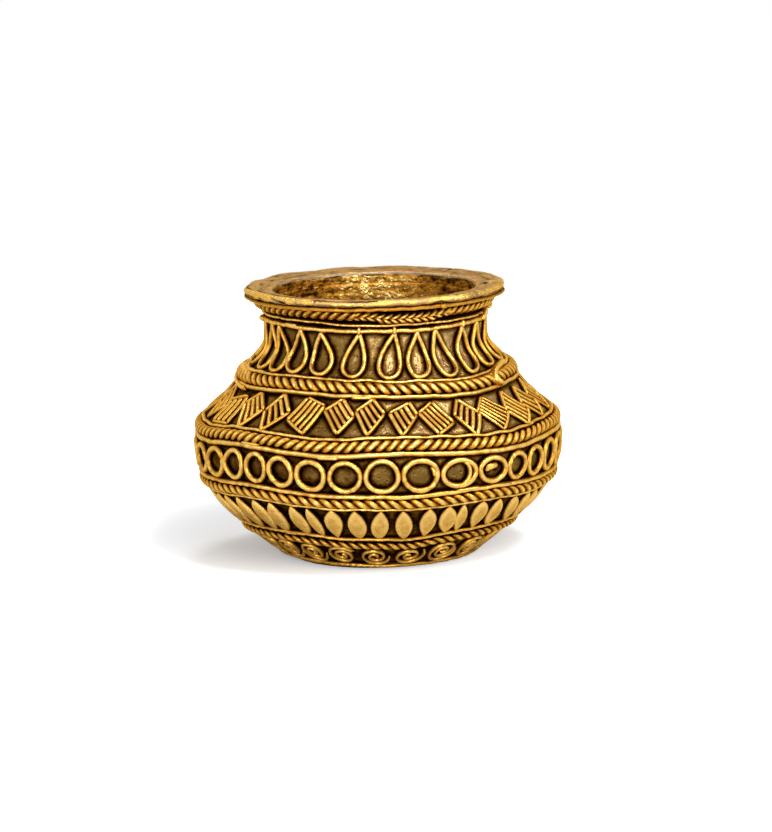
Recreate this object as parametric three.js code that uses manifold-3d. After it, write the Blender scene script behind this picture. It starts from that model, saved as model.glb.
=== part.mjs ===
// Kalash: a squat cast brass pot whose wall carries laid threads, in millimetres with +Z up.
// The origin is the centre of the underside, and the side with the seen ornament faces -Y.
// A turn is an angle round the pot: 0 at the front, growing towards +X.
// Every ornament is placed on the wall's outline, so a change of the outline carries it along.

import * as THREE from "three";
import { mergeVertices } from "three/addons/utils/BufferGeometryUtils.js";
import Module from "manifold-3d";

const wasm = await Module();
wasm.setup();

// Outside of the wall, from the sole up to the underside of the lip
const sole = { z: 0, r: 26.6 };
const foot = { z: 2.2, r: 29.2 };
const heel = { z: 9.7, r: 38.3 };
const flank = { z: 16.2, r: 45.6 };
const belly = { z: 35.2, r: 53.8 };
const swell = { z: 24.3, r: belly.r - 2.3 };
const edge = { z: 42.9, r: belly.r - 2.6 };
const shoulder = { z: 48.6, r: 45.0 };
const collar = { z: 56.7, r: 38.6 };
const neckBase = { z: 63.2, r: 33.0 };
const neckWaist = { z: 68.0, r: 32.2 };
const throat = { z: 75.6, r: 33.0 };
const flare = { z: 77.8, r: 34.9 };
const lipUnder = { z: 79.2, r: 38.3 };
const outline = [
  sole, foot, heel, flank, swell, belly, edge, shoulder,
  collar, neckBase, neckWaist, throat, flare, lipUnder,
];

// Cast sections
const wallThickness = 2.2;
const mouthRadius = 30.2;
const lipRadius = 39.0;
const lipTop = 81.4;
const lipDip = 0.85; // the lip's top face falls this much towards the mouth
const edgeBreak = 0.3; // small bevel on the lip's edges
const bellySeam = 41.4; // bowl and shoulder meet here, under the belly rope
const neckSeam = 56.7; // shoulder and neck meet here, under the shoulder rope
const lipSeam = 77.2; // neck and lip meet here
const outsideStep = 4.2; // greatest height between two rings of points on the bowl's outside
const neckStep = 1.9; // on the neck's outside, which curves more
const insideStep = 8.0; // and inside both

// Fits
const seatGap = 0.2; // between the wall and what is laid on it
const rowGap = 0.35; // between a row's pieces and the threads above and below
const threadGap = 0.15; // between a rope and the wires laid against it
const join = 0.3; // how far neighbours in a joined row reach past their boundary

// Steps that a full turn is cut into
const around = 40;

// Sways: how far the hand laid a thread above or below its height, as [degrees, millimetres]
const lipSway = [[-150, 0.0], [-40, 0.4], [-8, 0.0], [8, -0.4], [25, -0.4], [45, 0.0]];
const lipWireSway = [[-150, 0.2], [-38, 0.6], [-8, -0.2], [8, -0.3], [45, -0.5]];
const neckSway = [[-150, -0.2], [-55, 0.7], [-20, 0.2], [26, -0.2], [60, 0.0], [120, 0.3]];
const shoulderSway = [
  [-150, 0.3], [-70, 0.1], [-35, 0.7], [-5, 0.2], [12, -0.4], [40, -1.1], [70, -0.3], [130, 0.3],
];
const bellySway = [
  [-140, 0.4], [-75, -0.2], [-47, 1.3], [-14, 0.0], [2, 0.5], [45, -1.2], [72, -0.2], [130, 0.4],
];
const flankSway = [
  [-140, -0.3], [-72, 0.5], [-46, 1.6], [-10, -0.1], [10, -0.5], [35, 0.1], [62, -0.5], [130, 0.3],
];
const leafSway = [[-140, -0.3], [-42, 1.0], [-8, -0.5], [11, -1.1], [27, 0.2], [45, 0.6], [120, 0.0]];
const footSway = [[-140, 0.2], [-55, 1.1], [-25, 0.3], [0, -0.2], [35, -0.3], [110, 0.1]];
const noSway = [[0, 0]];

// Threads that run right round: width along the wall, rise off the wall, and either the height
// of the crest with its sway, or the rope that the wire is laid against, above or below it
const threads = {
  under_lip_wire: { z: 77.9, sway: noSway, width: 1.1, rise: 1.0 },
  lip_rope: { z: 75.4, sway: lipSway, width: 3.2, rise: 1.9, rope: true },
  lip_rope_wire: { z: 73.4, sway: lipWireSway, width: 0.9, rise: 1.0 },
  neck_wire: { z: 71.4, sway: neckSway, width: 1.4, rise: 1.2 },
  shoulder_upper_wire: { above: "shoulder_rope", width: 1.1, rise: 1.1 },
  shoulder_rope: { z: 56.7, sway: shoulderSway, width: 3.5, rise: 2.1, rope: true },
  shoulder_lower_wire: { below: "shoulder_rope", width: 1.3, rise: 1.2 },
  belly_upper_wire: { above: "belly_rope", width: 1.1, rise: 1.1 },
  belly_rope: { z: 41.4, sway: bellySway, width: 3.1, rise: 2.0, rope: true },
  belly_lower_wire: { below: "belly_rope", width: 1.6, rise: 1.3 },
  flank_upper_wire: { above: "flank_rope", width: 1.4, rise: 1.3 },
  flank_rope: { z: 23.9, sway: flankSway, width: 2.8, rise: 1.9, rope: true },
  flank_lower_wire: { below: "flank_rope", width: 0.9, rise: 1.0 },
  leaf_wire: { z: 11.9, sway: leafSway, width: 0.9, rise: 1.0 },
  foot_rope: { z: 9.2, sway: leafSway, width: 2.4, rise: 1.7, rope: true },
  foot_wire: { z: 1.0, sway: footSway, width: 1.1, rise: 1.1 },
};

// Rows: where the seen pieces lie in degrees, and how many pieces go right round
const teardropTurns = [
  [-67, -67], [-59, -54], [-41, -41], [-29, -27], [-8, -11], [10, 6],
  [22, 19], [32, 34], [50, 47], [65, 63], [84, 79],
]; // turn of the tip, turn of the round end
const teardropCount = 24;
const lozengeTurns = [-66.5, -53, -40, -27, -14, -2.5, 9.5, 21, 33.5, 46, 58, 70];
const lozengeCount = 29;
const ringTurns = [-74.5, -61.5, -50.5, -41, -32, -21.5, -10.5, 1, 12.5, 25.5, 38.5, 48.5, 57.5, 67.5];
const ringCount = 33;
const leafTurns = [-52.5, -44.5, -38, -29.5, -23, -16, -8, 0, 8.5, 17, 24.5, 30, 37, 44.5, 54];
const leafCount = 47;
const scrollTurns = [-62, -47.5, -34.5, -19, -3, 13.5, 32, 50, 66.5];
const scrollCount = 23;

const ropeCrown = 0.6; // share of its width that a rope keeps at its crest

// Threads of the rows
const teardropThread = { width: 1.2, rise: 1.1 };
const teardropWidth = 6.6;
const teardropTaper = 1.3; // how sharply a loop narrows towards its tip
const lozengeRise = 1.0;
const lozengeGroove = 0.35; // height that is left in the grooves between its ridges
const lozengeRidges = 3;
const ringThread = { width: 1.5, rise: 1.3 };
const leafRise = 0.9;
const leafCrown = 0.62; // share of its outline that a leaf pad keeps on top
const leafOutline = [[-1, 0], [-0.35, 0.8], [0.15, 1], [1, 0]]; // shares of half height, half width
const scrollThread = { width: 1.1, rise: 1.1 };
const scrollPitch = 2.3; // how much a spiral closes in with each turn
const scrollTurnsOpen = 0.5; // turns at full size, which reach both neighbours
const scrollTurnsIn = 1.2; // and turns that close in after them

const degrees = Math.PI / 180;
const weld = 1e-4; // points closer than this are one

// The outline's slope at one of its own points, from its neighbours
function stationSlope(i) {
  const before = outline[Math.max(i - 1, 0)];
  const after = outline[Math.min(i + 1, outline.length - 1)];
  return (after.r - before.r) / (after.z - before.z);
}

// Radius of the wall's outside at a height, by cubic spans through the outline's points
function wallRadius(z) {
  let i = 0;
  while (i < outline.length - 2 && z > outline[i + 1].z) i += 1;
  const low = outline[i];
  const high = outline[i + 1];
  const span = high.z - low.z;
  const t = (z - low.z) / span;
  if (t < 0) return low.r + (z - low.z) * stationSlope(i);
  if (t > 1) return high.r + (z - high.z) * stationSlope(i + 1);
  const startRun = (t * t * t - 2 * t * t + t) * span * stationSlope(i);
  const endRun = (t * t * t - t * t) * span * stationSlope(i + 1);
  const blend = 3 * t * t - 2 * t * t * t;
  return low.r + (high.r - low.r) * blend + startRun + endRun;
}

function wallSlope(z) {
  const h = 0.05;
  return (wallRadius(z + h) - wallRadius(z - h)) / (2 * h);
}

// How much longer a step along the wall is than its height
function wallStretch(z) {
  return Math.hypot(1, wallSlope(z));
}

// Radius of the wall's inside: one thickness in, and a straight throat from the neck's waist up
function boreRadius(z) {
  if (z >= neckWaist.z) return mouthRadius;
  const radius = wallRadius(z) - wallThickness * wallStretch(z);
  return z > belly.z ? Math.max(mouthRadius, radius) : radius;
}

// A point off the wall: seat height z, and depth measured square to the wall
function offWall(turn, z, depth) {
  const slope = wallSlope(z);
  const stretch = wallStretch(z);
  const r = wallRadius(z) + depth / stretch;
  return new THREE.Vector3(r * Math.sin(turn), -r * Math.cos(turn), z - (depth * slope) / stretch);
}

// The seat height whose point at this depth off the wall has the height z
function seatUnder(z, depth) {
  const rounds = 12;
  let seat = z;
  for (let k = 0; k < rounds; k += 1) {
    seat = z + (depth * wallSlope(seat)) / wallStretch(seat);
  }
  return seat;
}

// Height shift of a sway at a turn, eased between its hand-chosen points
function swayAt(sway, turn) {
  const full = 360;
  const at = ((((turn / degrees - sway[0][0]) % full) + full) % full) + sway[0][0];
  let i = sway.length - 1;
  while (i > 0 && at < sway[i][0]) i -= 1;
  const here = sway[i];
  const next = i + 1 < sway.length ? sway[i + 1] : [sway[0][0] + full, sway[0][1]];
  const t = (at - here[0]) / (next[0] - here[0]);
  const ease = (1 - Math.cos(Math.PI * t)) / 2;
  return here[1] + (next[1] - here[1]) * ease;
}

// Seat height of a thread's middle at a turn
function threadSeat(thread, turn) {
  const rope = threads[thread.above ?? thread.below];
  if (rope === undefined) {
    return seatUnder(thread.z + swayAt(thread.sway, turn), thread.rise + seatGap);
  }
  const seat = threadSeat(rope, turn);
  const reach = (rope.width + thread.width) / 2 + threadGap;
  return thread.above ? seat + reach / wallStretch(seat) : seat - reach / wallStretch(seat);
}

// Free heights on the wall between two threads at a turn
function bandAt(above, below, turn) {
  const high = threadSeat(above, turn);
  const low = threadSeat(below, turn);
  return {
    top: high - (above.width / 2 + rowGap) / wallStretch(high),
    bottom: low + (below.width / 2 + rowGap) / wallStretch(low),
  };
}

// Sections as [side, depth], seated on the gap
function wireSection(thread) {
  const half = thread.width / 2;
  return [[-half, seatGap], [half, seatGap], [0, seatGap + thread.rise]];
}

function ropeSection(thread) {
  const half = thread.width / 2;
  const top = seatGap + thread.rise;
  return [[-half, seatGap], [half, seatGap], [half * ropeCrown, top], [-half * ropeCrown, top]];
}

function geometryOf(points, triangles) {
  const geometry = new THREE.BufferGeometry();
  const flat = points.flatMap((p) => [p.x, p.y, p.z]);
  geometry.setAttribute("position", new THREE.Float32BufferAttribute(flat, 3));
  geometry.setIndex(triangles.flat());
  return geometry;
}

// The sections of a thread laid on the wall along a path of { turn, z } seat points
function sectionsAlong(path, section, closed) {
  const count = path.length;
  return path.map((spot, i) => {
    const before = closed ? path[(i + count - 1) % count] : path[Math.max(i - 1, 0)];
    const after = closed ? path[(i + 1) % count] : path[Math.min(i + 1, count - 1)];
    const r = wallRadius(spot.z);
    const stretch = wallStretch(spot.z);
    const wrap = Math.round((after.turn - before.turn) / (2 * Math.PI)) * 2 * Math.PI;
    const across = (after.turn - before.turn - wrap) * r;
    const along = new THREE.Vector2(across, (after.z - before.z) * stretch).normalize();
    return section.map(([side, depth]) => {
      const turn = spot.turn + (along.y * side) / r;
      const z = spot.z - (along.x * side) / stretch;
      return offWall(turn, z, depth);
    });
  });
}

// A solid through a run of sections, closed on itself or with two ends
function throughSections(sections, closed) {
  const count = sections.length;
  const sides = sections[0].length;
  const triangles = [];
  const last = closed ? count : count - 1;
  for (let i = 0; i < last; i += 1) {
    const here = i * sides;
    const next = ((i + 1) % count) * sides;
    for (let k = 0; k < sides; k += 1) {
      const m = (k + 1) % sides;
      triangles.push([here + k, next + k, here + m], [here + m, next + k, next + m]);
    }
  }
  if (!closed) {
    const end = (count - 1) * sides;
    for (let k = 1; k < sides - 1; k += 1) {
      triangles.push([0, k, k + 1], [end, end + k + 1, end + k]);
    }
  }
  return geometryOf(sections.flat(), triangles);
}

function layThread(path, section, closed) {
  return throughSections(sectionsAlong(path, section, closed), closed);
}

// A pad on the wall from rungs of a left and a right spot, pointed at both ends
function layPad(rungs, place, rise, crown) {
  const points = [];
  const layers = [[seatGap, 1], [seatGap + rise, crown]];
  for (const [depth, share] of layers) {
    for (const spot of rungs.flat()) {
      const turn = place.turn + (spot.turn - place.turn) * share;
      const z = place.z + (spot.z - place.z) * share;
      points.push(offWall(turn, z, depth));
    }
  }
  const size = rungs.length * 2;
  const triangles = [];
  for (let i = 0; i < rungs.length - 1; i += 1) {
    const l = i * 2;
    const faces = [[l, l + 2, l + 1], [l + 1, l + 2, l + 3]];
    for (const [a, b, c] of faces) {
      triangles.push([a, b, c], [a + size, c + size, b + size]);
    }
    triangles.push([l, l + size, l + 2], [l + 2, l + size, l + 2 + size]);
    triangles.push([l + 1, l + 3, l + 1 + size], [l + 3, l + 3 + size, l + 1 + size]);
  }
  return dropSlivers(geometryOf(points, triangles));
}

// Merges shared points and drops the triangles that a pointed end closes to nothing
function dropSlivers(geometry) {
  const merged = mergeVertices(geometry, weld);
  const index = merged.getIndex().array;
  const kept = [];
  for (let i = 0; i < index.length; i += 3) {
    const [a, b, c] = [index[i], index[i + 1], index[i + 2]];
    if (a !== b && b !== c && c !== a) kept.push(a, b, c);
  }
  merged.setIndex(kept);
  return merged;
}

function toSolid(geometry) {
  const bare = geometry.clone();
  bare.deleteAttribute("normal");
  bare.deleteAttribute("uv");
  const merged = mergeVertices(bare, weld);
  return new wasm.Manifold(
    new wasm.Mesh({
      numProp: 3,
      vertProperties: new Float32Array(merged.getAttribute("position").array),
      triVerts: new Uint32Array(merged.getIndex().array),
    }),
  );
}

function joined(geometries) {
  const solids = geometries.map(toSolid);
  const mesh = wasm.Manifold.union(solids).getMesh();
  const geometry = new THREE.BufferGeometry();
  geometry.setAttribute("position", new THREE.BufferAttribute(new Float32Array(mesh.vertProperties), 3));
  geometry.setIndex(new THREE.BufferAttribute(new Uint32Array(mesh.triVerts), 1));
  return geometry;
}

// A turned section of [radius, height] points, listed up the outside and back down the inside
function turned(section) {
  const closedSection = [...section, section[0]].map(([r, z]) => new THREE.Vector2(r, z));
  const geometry = new THREE.LatheGeometry(closedSection, around);
  geometry.rotateX(Math.PI / 2);
  return geometry;
}

// Heights from low to high in even steps, none over the greatest step
function heightsBetween(low, high, greatest) {
  const steps = Math.ceil((high - low) / greatest);
  return Array.from({ length: steps + 1 }, (_, i) => low + ((high - low) * i) / steps);
}

// Fills the side that isn't seen with evenly spread turns, so that a row has its full count
function wholeRow(seenDegrees, count) {
  const seen = seenDegrees.map((d) => d * degrees);
  const last = seen[seen.length - 1];
  const rest = count - seen.length;
  const arc = 2 * Math.PI - (last - seen[0]);
  const unseen = Array.from({ length: rest }, (_, i) => last + (arc * (i + 1)) / (rest + 1));
  return [...seen, ...unseen];
}

// Each piece's share of a row, from the middle of one gap to the middle of the next
function sharesOf(turns) {
  return turns.map((turn, i) => {
    const before = i > 0 ? turns[i - 1] : turns[turns.length - 1] - 2 * Math.PI;
    const after = i + 1 < turns.length ? turns[i + 1] : turns[0] + 2 * Math.PI;
    return { left: (before + turn) / 2, right: (turn + after) / 2 };
  });
}

// A section of the pot's wall between two seams, with flat faces where it meets its neighbours
function wallSection(low, high, step) {
  const outside = heightsBetween(low, high, step).map((z) => [wallRadius(z), z]);
  const inside = heightsBetween(low, high, insideStep).map((z) => [boreRadius(z), z]).reverse();
  return turned([...outside, ...inside]);
}

function lipRing() {
  const middle = (lipSeam + lipUnder.z) / 2;
  return turned([
    [wallRadius(lipSeam), lipSeam],
    [wallRadius(middle), middle],
    [lipUnder.r, lipUnder.z],
    [lipRadius, lipUnder.z + edgeBreak * 2],
    [lipRadius, lipTop - edgeBreak],
    [lipRadius - edgeBreak, lipTop],
    [mouthRadius + edgeBreak, lipTop - lipDip],
    [mouthRadius, lipTop - lipDip - edgeBreak],
    [mouthRadius, lipSeam],
  ]);
}

function baseDisc() {
  const half = (sole.z + foot.z) / 2;
  const section = [
    [0, sole.z],
    [sole.r, sole.z],
    [wallRadius(half), half],
    [foot.r, foot.z],
    [0, foot.z],
  ];
  const points = section.map(([r, z]) => new THREE.Vector2(r, z));
  const geometry = new THREE.LatheGeometry(points, around);
  geometry.rotateX(Math.PI / 2);
  return geometry;
}

function roundThread(thread) {
  const path = Array.from({ length: around }, (_, i) => {
    const turn = (2 * Math.PI * i) / around;
    return { turn, z: threadSeat(thread, turn) };
  });
  return layThread(path, thread.rope ? ropeSection(thread) : wireSection(thread), true);
}

// A loop that is pointed at its upper end and round below. Its two sides run into each other at
// the tip, so they are made as two threads between the tip and the round end, and joined.
function teardrop(tipTurn, roundTurn) {
  const steps = 14;
  const band = bandAt(threads.neck_wire, threads.shoulder_upper_wire, (tipTurn + roundTurn) / 2);
  const half = teardropThread.width / 2;
  const top = band.top - half;
  const bottom = band.bottom + half;
  const widestUp = 1 / (teardropTaper + 2);
  const greatest = 2 * (1 - widestUp) ** ((teardropTaper + 1) / 2) * Math.sqrt(widestUp);
  const path = [];
  for (let i = 0; i < steps; i += 1) {
    const a = (2 * Math.PI * i) / steps;
    const up = (1 + Math.cos(a)) / 2;
    const z = bottom + (top - bottom) * up;
    const share = (Math.sin(a) * Math.sin(a / 2) ** teardropTaper) / greatest;
    const out = share * (teardropWidth / 2 - half);
    const lean = roundTurn + (tipTurn - roundTurn) * up;
    path.push({ turn: lean + out / wallRadius(z), z });
  }
  const sections = sectionsAlong(path, wireSection(teardropThread), true);
  const oneSide = throughSections(sections.slice(0, steps / 2 + 1), false);
  const otherSide = throughSections([...sections.slice(steps / 2), sections[0]], false);
  return joined([oneSide, otherSide]);
}

function bandMiddle(above, below, turn) {
  const band = bandAt(above, below, turn);
  return (band.top + band.bottom) / 2;
}

// A share of a row as a place on the wall: its middle, and its half width and half height in
// millimetres. The place tilts with its band, so that neighbours meet at one height.
function placeIn(share, above, below) {
  const turn = (share.left + share.right) / 2;
  const band = bandAt(above, below, turn);
  const leftZ = bandMiddle(above, below, share.left);
  const rightZ = bandMiddle(above, below, share.right);
  const z = (leftZ + rightZ) / 2;
  return {
    turn,
    z,
    tilt: (rightZ - leftZ) / 2,
    halfWidth: ((share.right - share.left) / 2) * wallRadius(z) + join,
    halfHeight: Math.min(band.top - z, z - band.bottom),
  };
}

// A spot of a place, x to the right and y up, in millimetres from its middle
function spotIn(place, x, y) {
  return {
    turn: place.turn + x / wallRadius(place.z),
    z: place.z + y + (x / place.halfWidth) * place.tilt,
  };
}

function ring(share) {
  const steps = 10;
  const half = ringThread.width / 2;
  const place = placeIn(share, threads.belly_lower_wire, threads.flank_upper_wire);
  const path = [];
  for (let i = 0; i < steps; i += 1) {
    const a = (-2 * Math.PI * i) / steps;
    const wide = place.halfWidth - half;
    const tall = place.halfHeight - half / wallStretch(place.z);
    path.push(spotIn(place, Math.cos(a) * wide, Math.sin(a) * tall));
  }
  return layThread(path, wireSection(ringThread), true);
}

// A pad of four sides whose top is parallel ridges, its side corners meeting the neighbours
function lozenge(share) {
  const place = placeIn(share, threads.shoulder_lower_wire, threads.belly_upper_wire);
  const across = lozengeRidges * 2;
  const along = 2;
  const rows = along + 1;
  const layer = (across + 1) * rows;
  const points = [];
  for (const onTop of [false, true]) {
    for (let i = 0; i <= across; i += 1) {
      const crest = i % 2 === 1;
      for (let k = 0; k < rows; k += 1) {
        const p = i / across;
        const q = k / along;
        const spot = spotIn(place, (p + q - 1) * place.halfWidth, (q - p) * place.halfHeight);
        const rise = crest ? lozengeRise : lozengeGroove;
        points.push(offWall(spot.turn, spot.z, seatGap + (onTop ? rise : 0)));
      }
    }
  }
  const triangles = [];
  for (let i = 0; i < across; i += 1) {
    for (let k = 0; k < along; k += 1) {
      const a = i * rows + k;
      const b = a + rows;
      triangles.push([a, a + 1, b], [b, a + 1, b + 1]);
      triangles.push([a + layer, b + layer, a + 1 + layer], [b + layer, b + 1 + layer, a + 1 + layer]);
    }
  }
  const rim = [];
  for (let i = 0; i < across; i += 1) rim.push(i * rows);
  for (let k = 0; k < along; k += 1) rim.push(across * rows + k);
  for (let i = across; i > 0; i -= 1) rim.push(i * rows + along);
  for (let k = along; k > 0; k -= 1) rim.push(k);
  rim.forEach((a, i) => {
    const b = rim[(i + 1) % rim.length];
    triangles.push([a, b, a + layer], [b, b + layer, a + layer]);
  });
  return geometryOf(points, triangles);
}

function leaf(share) {
  const place = placeIn(share, threads.flank_lower_wire, threads.leaf_wire);
  const rungs = leafOutline.map(([up, wide]) => [
    spotIn(place, -wide * place.halfWidth, up * place.halfHeight),
    spotIn(place, wide * place.halfWidth, up * place.halfHeight),
  ]);
  return layPad(rungs, place, leafRise, leafCrown);
}

// A spiral thread: half a turn at full size, so that it meets both neighbours, then closing in
function scroll(share) {
  const openSteps = 4;
  const closingSteps = 8;
  const half = scrollThread.width / 2;
  const place = placeIn(share, threads.foot_rope, threads.foot_wire);
  const wide = place.halfWidth - half;
  const tall = place.halfHeight - half / wallStretch(place.z);
  const path = [];
  for (let i = 0; i <= openSteps + closingSteps; i += 1) {
    const open = (scrollTurnsOpen * Math.min(i, openSteps)) / openSteps;
    const closing = (scrollTurnsIn * Math.max(i - openSteps, 0)) / closingSteps;
    const size = 1 - (closing * scrollPitch) / wide;
    const a = -2 * Math.PI * (open + closing);
    path.push(spotIn(place, Math.cos(a) * wide * size, Math.sin(a) * tall * size));
  }
  return layThread(path, wireSection(scrollThread), false);
}

// Materials
const wallBrass = new THREE.MeshStandardMaterial({ color: 0x6b5531, roughness: 0.55, metalness: 0.85 });
const threadBrass = new THREE.MeshStandardMaterial({ color: 0xb08d4a, roughness: 0.35, metalness: 0.95 });
const lipBrass = new THREE.MeshStandardMaterial({ color: 0x6e6150, roughness: 0.6, metalness: 0.7 });
const baseBrass = new THREE.MeshStandardMaterial({ color: 0x4a2c20, roughness: 0.7, metalness: 0.6 });

// Assembly
const kalash = new THREE.Group();

function add(name, geometry, material) {
  const mesh = new THREE.Mesh(geometry, material);
  mesh.name = name;
  kalash.add(mesh);
}

add("base_disc", baseDisc(), baseBrass);
add("bowl_wall", wallSection(foot.z, bellySeam, outsideStep), wallBrass);
add("shoulder_wall", wallSection(bellySeam, neckSeam, outsideStep), wallBrass);
add("neck_wall", wallSection(neckSeam, lipSeam, neckStep), wallBrass);
add("lip_ring", lipRing(), lipBrass);

for (const [name, thread] of Object.entries(threads)) {
  add(name, roundThread(thread), threadBrass);
}

const tips = wholeRow(teardropTurns.map(([tip]) => tip), teardropCount);
const rounds = wholeRow(teardropTurns.map(([, round]) => round), teardropCount);
tips.forEach((tip, i) => {
  const number = String(i + 1).padStart(2, "0");
  add(`teardrop_${number}`, teardrop(tip, rounds[i]), threadBrass);
});

const lozengeShares = sharesOf(wholeRow(lozengeTurns, lozengeCount));
const ringShares = sharesOf(wholeRow(ringTurns, ringCount));
const leafShares = sharesOf(wholeRow(leafTurns, leafCount));
const scrollShares = sharesOf(wholeRow(scrollTurns, scrollCount));
add("lozenge_row", joined(lozengeShares.map(lozenge)), threadBrass);
add("ring_row", joined(ringShares.map(ring)), threadBrass);
add("leaf_row", joined(leafShares.map(leaf)), threadBrass);
add("scroll_row", joined(scrollShares.map(scroll)), threadBrass);

export default kalash;
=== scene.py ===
# %% [markdown]
# # A cast brass kalash dressed with wax threads
# The real pot is made by lost-wax casting. A maker lays wax threads on a clay core, bakes a mould round
# it and pours brass where the wax was. So every line on the pot was once a soft thread laid by hand:
# plain wires, twisted ropes, drops, hatched lozenges, rings, leaf pads and spirals.
# Here each of them is laid on the wall in the same order, as a fine mesh over the plain solid of the
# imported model. Lengths are worked out in millimetres and scaled to metres when a mesh is made.

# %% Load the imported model
import math

import bpy
import numpy as np
from mathutils import Matrix, Vector, kdtree


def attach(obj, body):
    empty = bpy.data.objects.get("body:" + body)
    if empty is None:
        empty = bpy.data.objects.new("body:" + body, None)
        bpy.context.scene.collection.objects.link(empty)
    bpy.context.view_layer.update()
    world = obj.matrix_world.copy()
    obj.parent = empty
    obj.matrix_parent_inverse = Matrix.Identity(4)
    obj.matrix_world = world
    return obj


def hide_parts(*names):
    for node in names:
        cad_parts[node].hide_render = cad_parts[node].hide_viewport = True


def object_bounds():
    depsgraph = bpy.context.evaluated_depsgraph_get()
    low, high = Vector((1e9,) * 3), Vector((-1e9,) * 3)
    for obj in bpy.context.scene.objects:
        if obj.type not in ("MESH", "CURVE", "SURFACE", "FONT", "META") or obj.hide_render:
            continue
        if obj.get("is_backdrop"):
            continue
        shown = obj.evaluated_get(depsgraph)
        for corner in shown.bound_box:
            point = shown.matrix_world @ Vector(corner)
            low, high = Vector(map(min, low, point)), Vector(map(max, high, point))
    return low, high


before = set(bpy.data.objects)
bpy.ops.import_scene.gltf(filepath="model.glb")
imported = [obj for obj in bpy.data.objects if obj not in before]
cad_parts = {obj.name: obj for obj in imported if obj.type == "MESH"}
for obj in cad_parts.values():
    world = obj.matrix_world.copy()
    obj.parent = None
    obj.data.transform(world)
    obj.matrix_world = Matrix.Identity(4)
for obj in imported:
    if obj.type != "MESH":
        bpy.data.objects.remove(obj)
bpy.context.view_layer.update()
MM = 0.001

# %% [markdown]
# ## The camera
# The photograph looks at the front from a little above, from far away, so the rims are flat ellipses.
# The lens follows from the photograph's height in pixels: a pot that is small in the frame at a long
# distance needs a long lens. The slight roll is the tilt with which the picture was taken.

# %% Camera
PHOTO_HEIGHT = 832
FOCAL_PIXELS = 4104.5
CAMERA_DISTANCE = 1228.3 * MM
CAMERA_ELEVATION = math.radians(9.638)
CAMERA_ROLL = math.radians(1.417)
AIM = Vector((2.507, 0, 40.95)) * MM
SENSOR_WIDTH = 36

back = Vector((0, -math.cos(CAMERA_ELEVATION), math.sin(CAMERA_ELEVATION)))
right = Vector((1, 0, 0))
up = back.cross(right)
camera_x = right * math.cos(CAMERA_ROLL) - up * math.sin(CAMERA_ROLL)
camera_y = right * math.sin(CAMERA_ROLL) + up * math.cos(CAMERA_ROLL)
camera = bpy.data.objects.new("camera", bpy.data.cameras.new("camera"))
bpy.context.scene.collection.objects.link(camera)
turned_axes = Matrix((camera_x, camera_y, back)).transposed().to_4x4()
camera.matrix_world = Matrix.Translation(AIM + back * CAMERA_DISTANCE) @ turned_axes
camera.data.sensor_width = SENSOR_WIDTH
camera.data.lens = SENSOR_WIDTH * FOCAL_PIXELS / PHOTO_HEIGHT
bpy.context.scene.camera = camera
print("lens in mm:", round(camera.data.lens, 1))

# %% [markdown]
# ## The wall's outline
# A pot is a turned form, so one curve of radius against height says it all. The curve passes through a
# few measured stations and takes its slope at each from the two neighbours. Everything that is laid on
# the wall asks this curve where the wall is, so nothing can float or sink.

# %% Outline of the wall
STATIONS = np.array([
    (0.0, 26.6), (2.2, 29.2), (9.7, 38.3), (16.2, 45.6), (24.3, 51.5), (35.2, 53.8), (42.9, 51.2),
    (48.6, 45.0), (56.7, 38.6), (63.2, 33.0), (68.0, 32.2), (75.6, 33.0), (77.8, 34.9), (79.2, 38.3),
])  # height, radius
HEIGHTS, RADII = STATIONS.T
LAST = len(HEIGHTS) - 1
BEFORE = np.maximum(np.arange(LAST + 1) - 1, 0)
AFTER = np.minimum(np.arange(LAST + 1) + 1, LAST)
SLOPES = (RADII[AFTER] - RADII[BEFORE]) / (HEIGHTS[AFTER] - HEIGHTS[BEFORE])

WALL_THICKNESS = 2.2
MOUTH_RADIUS = 30.2
NECK_WAIST = 68.0
BELLY_HEIGHT = 35.2
FLOOR_TOP = 2.2
LIP_SEAM = 77.2


def wall_radius(z):
    """Radius of the wall's outside at height z, by cubic spans."""
    z = np.asarray(z, float)
    i = np.clip(np.searchsorted(HEIGHTS, z) - 1, 0, LAST - 1)
    span = HEIGHTS[i + 1] - HEIGHTS[i]
    t = (z - HEIGHTS[i]) / span
    s = np.clip(t, 0, 1)
    blend = 3 * s**2 - 2 * s**3
    start = (s**3 - 2 * s**2 + s) * span * SLOPES[i]
    end = (s**3 - s**2) * span * SLOPES[i + 1]
    past = (t - s) * span * np.where(t < 0, SLOPES[i], SLOPES[i + 1])
    return RADII[i] + (RADII[i + 1] - RADII[i]) * blend + start + end + past


def wall_slope(z):
    h = 0.05
    return (wall_radius(z + h) - wall_radius(z - h)) / (2 * h)


def wall_stretch(z):
    """How much longer a step along the wall is than its height."""
    return np.hypot(1, wall_slope(z))


def bore_radius(z):
    """Radius of the wall's inside: one thickness in, and a straight throat at the top."""
    inner = wall_radius(z) - WALL_THICKNESS * wall_stretch(z)
    inner = np.where(z > BELLY_HEIGHT, np.maximum(MOUTH_RADIUS, inner), inner)
    return np.where(z >= NECK_WAIST, MOUTH_RADIUS, inner)


def turned(turn, radius, z):
    """Points at a radius and a height, at a turn that is counted from the front."""
    return np.stack([radius * np.sin(turn), -radius * np.cos(turn), z], axis=-1)


def off_wall(turn, seat, depth):
    """Points that stand depth off the wall, square to it, over the seat height."""
    slope = wall_slope(seat)
    stretch = wall_stretch(seat)
    return turned(turn, wall_radius(seat) + depth / stretch, seat - depth * slope / stretch)


def seat_under(z, depth, tries=12):
    """The seat whose point at this depth off the wall has the height z, found step by step."""
    seat = np.asarray(z, float)
    for _ in range(tries):
        seat = z + depth * wall_slope(seat) / wall_stretch(seat)
    return seat


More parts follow.
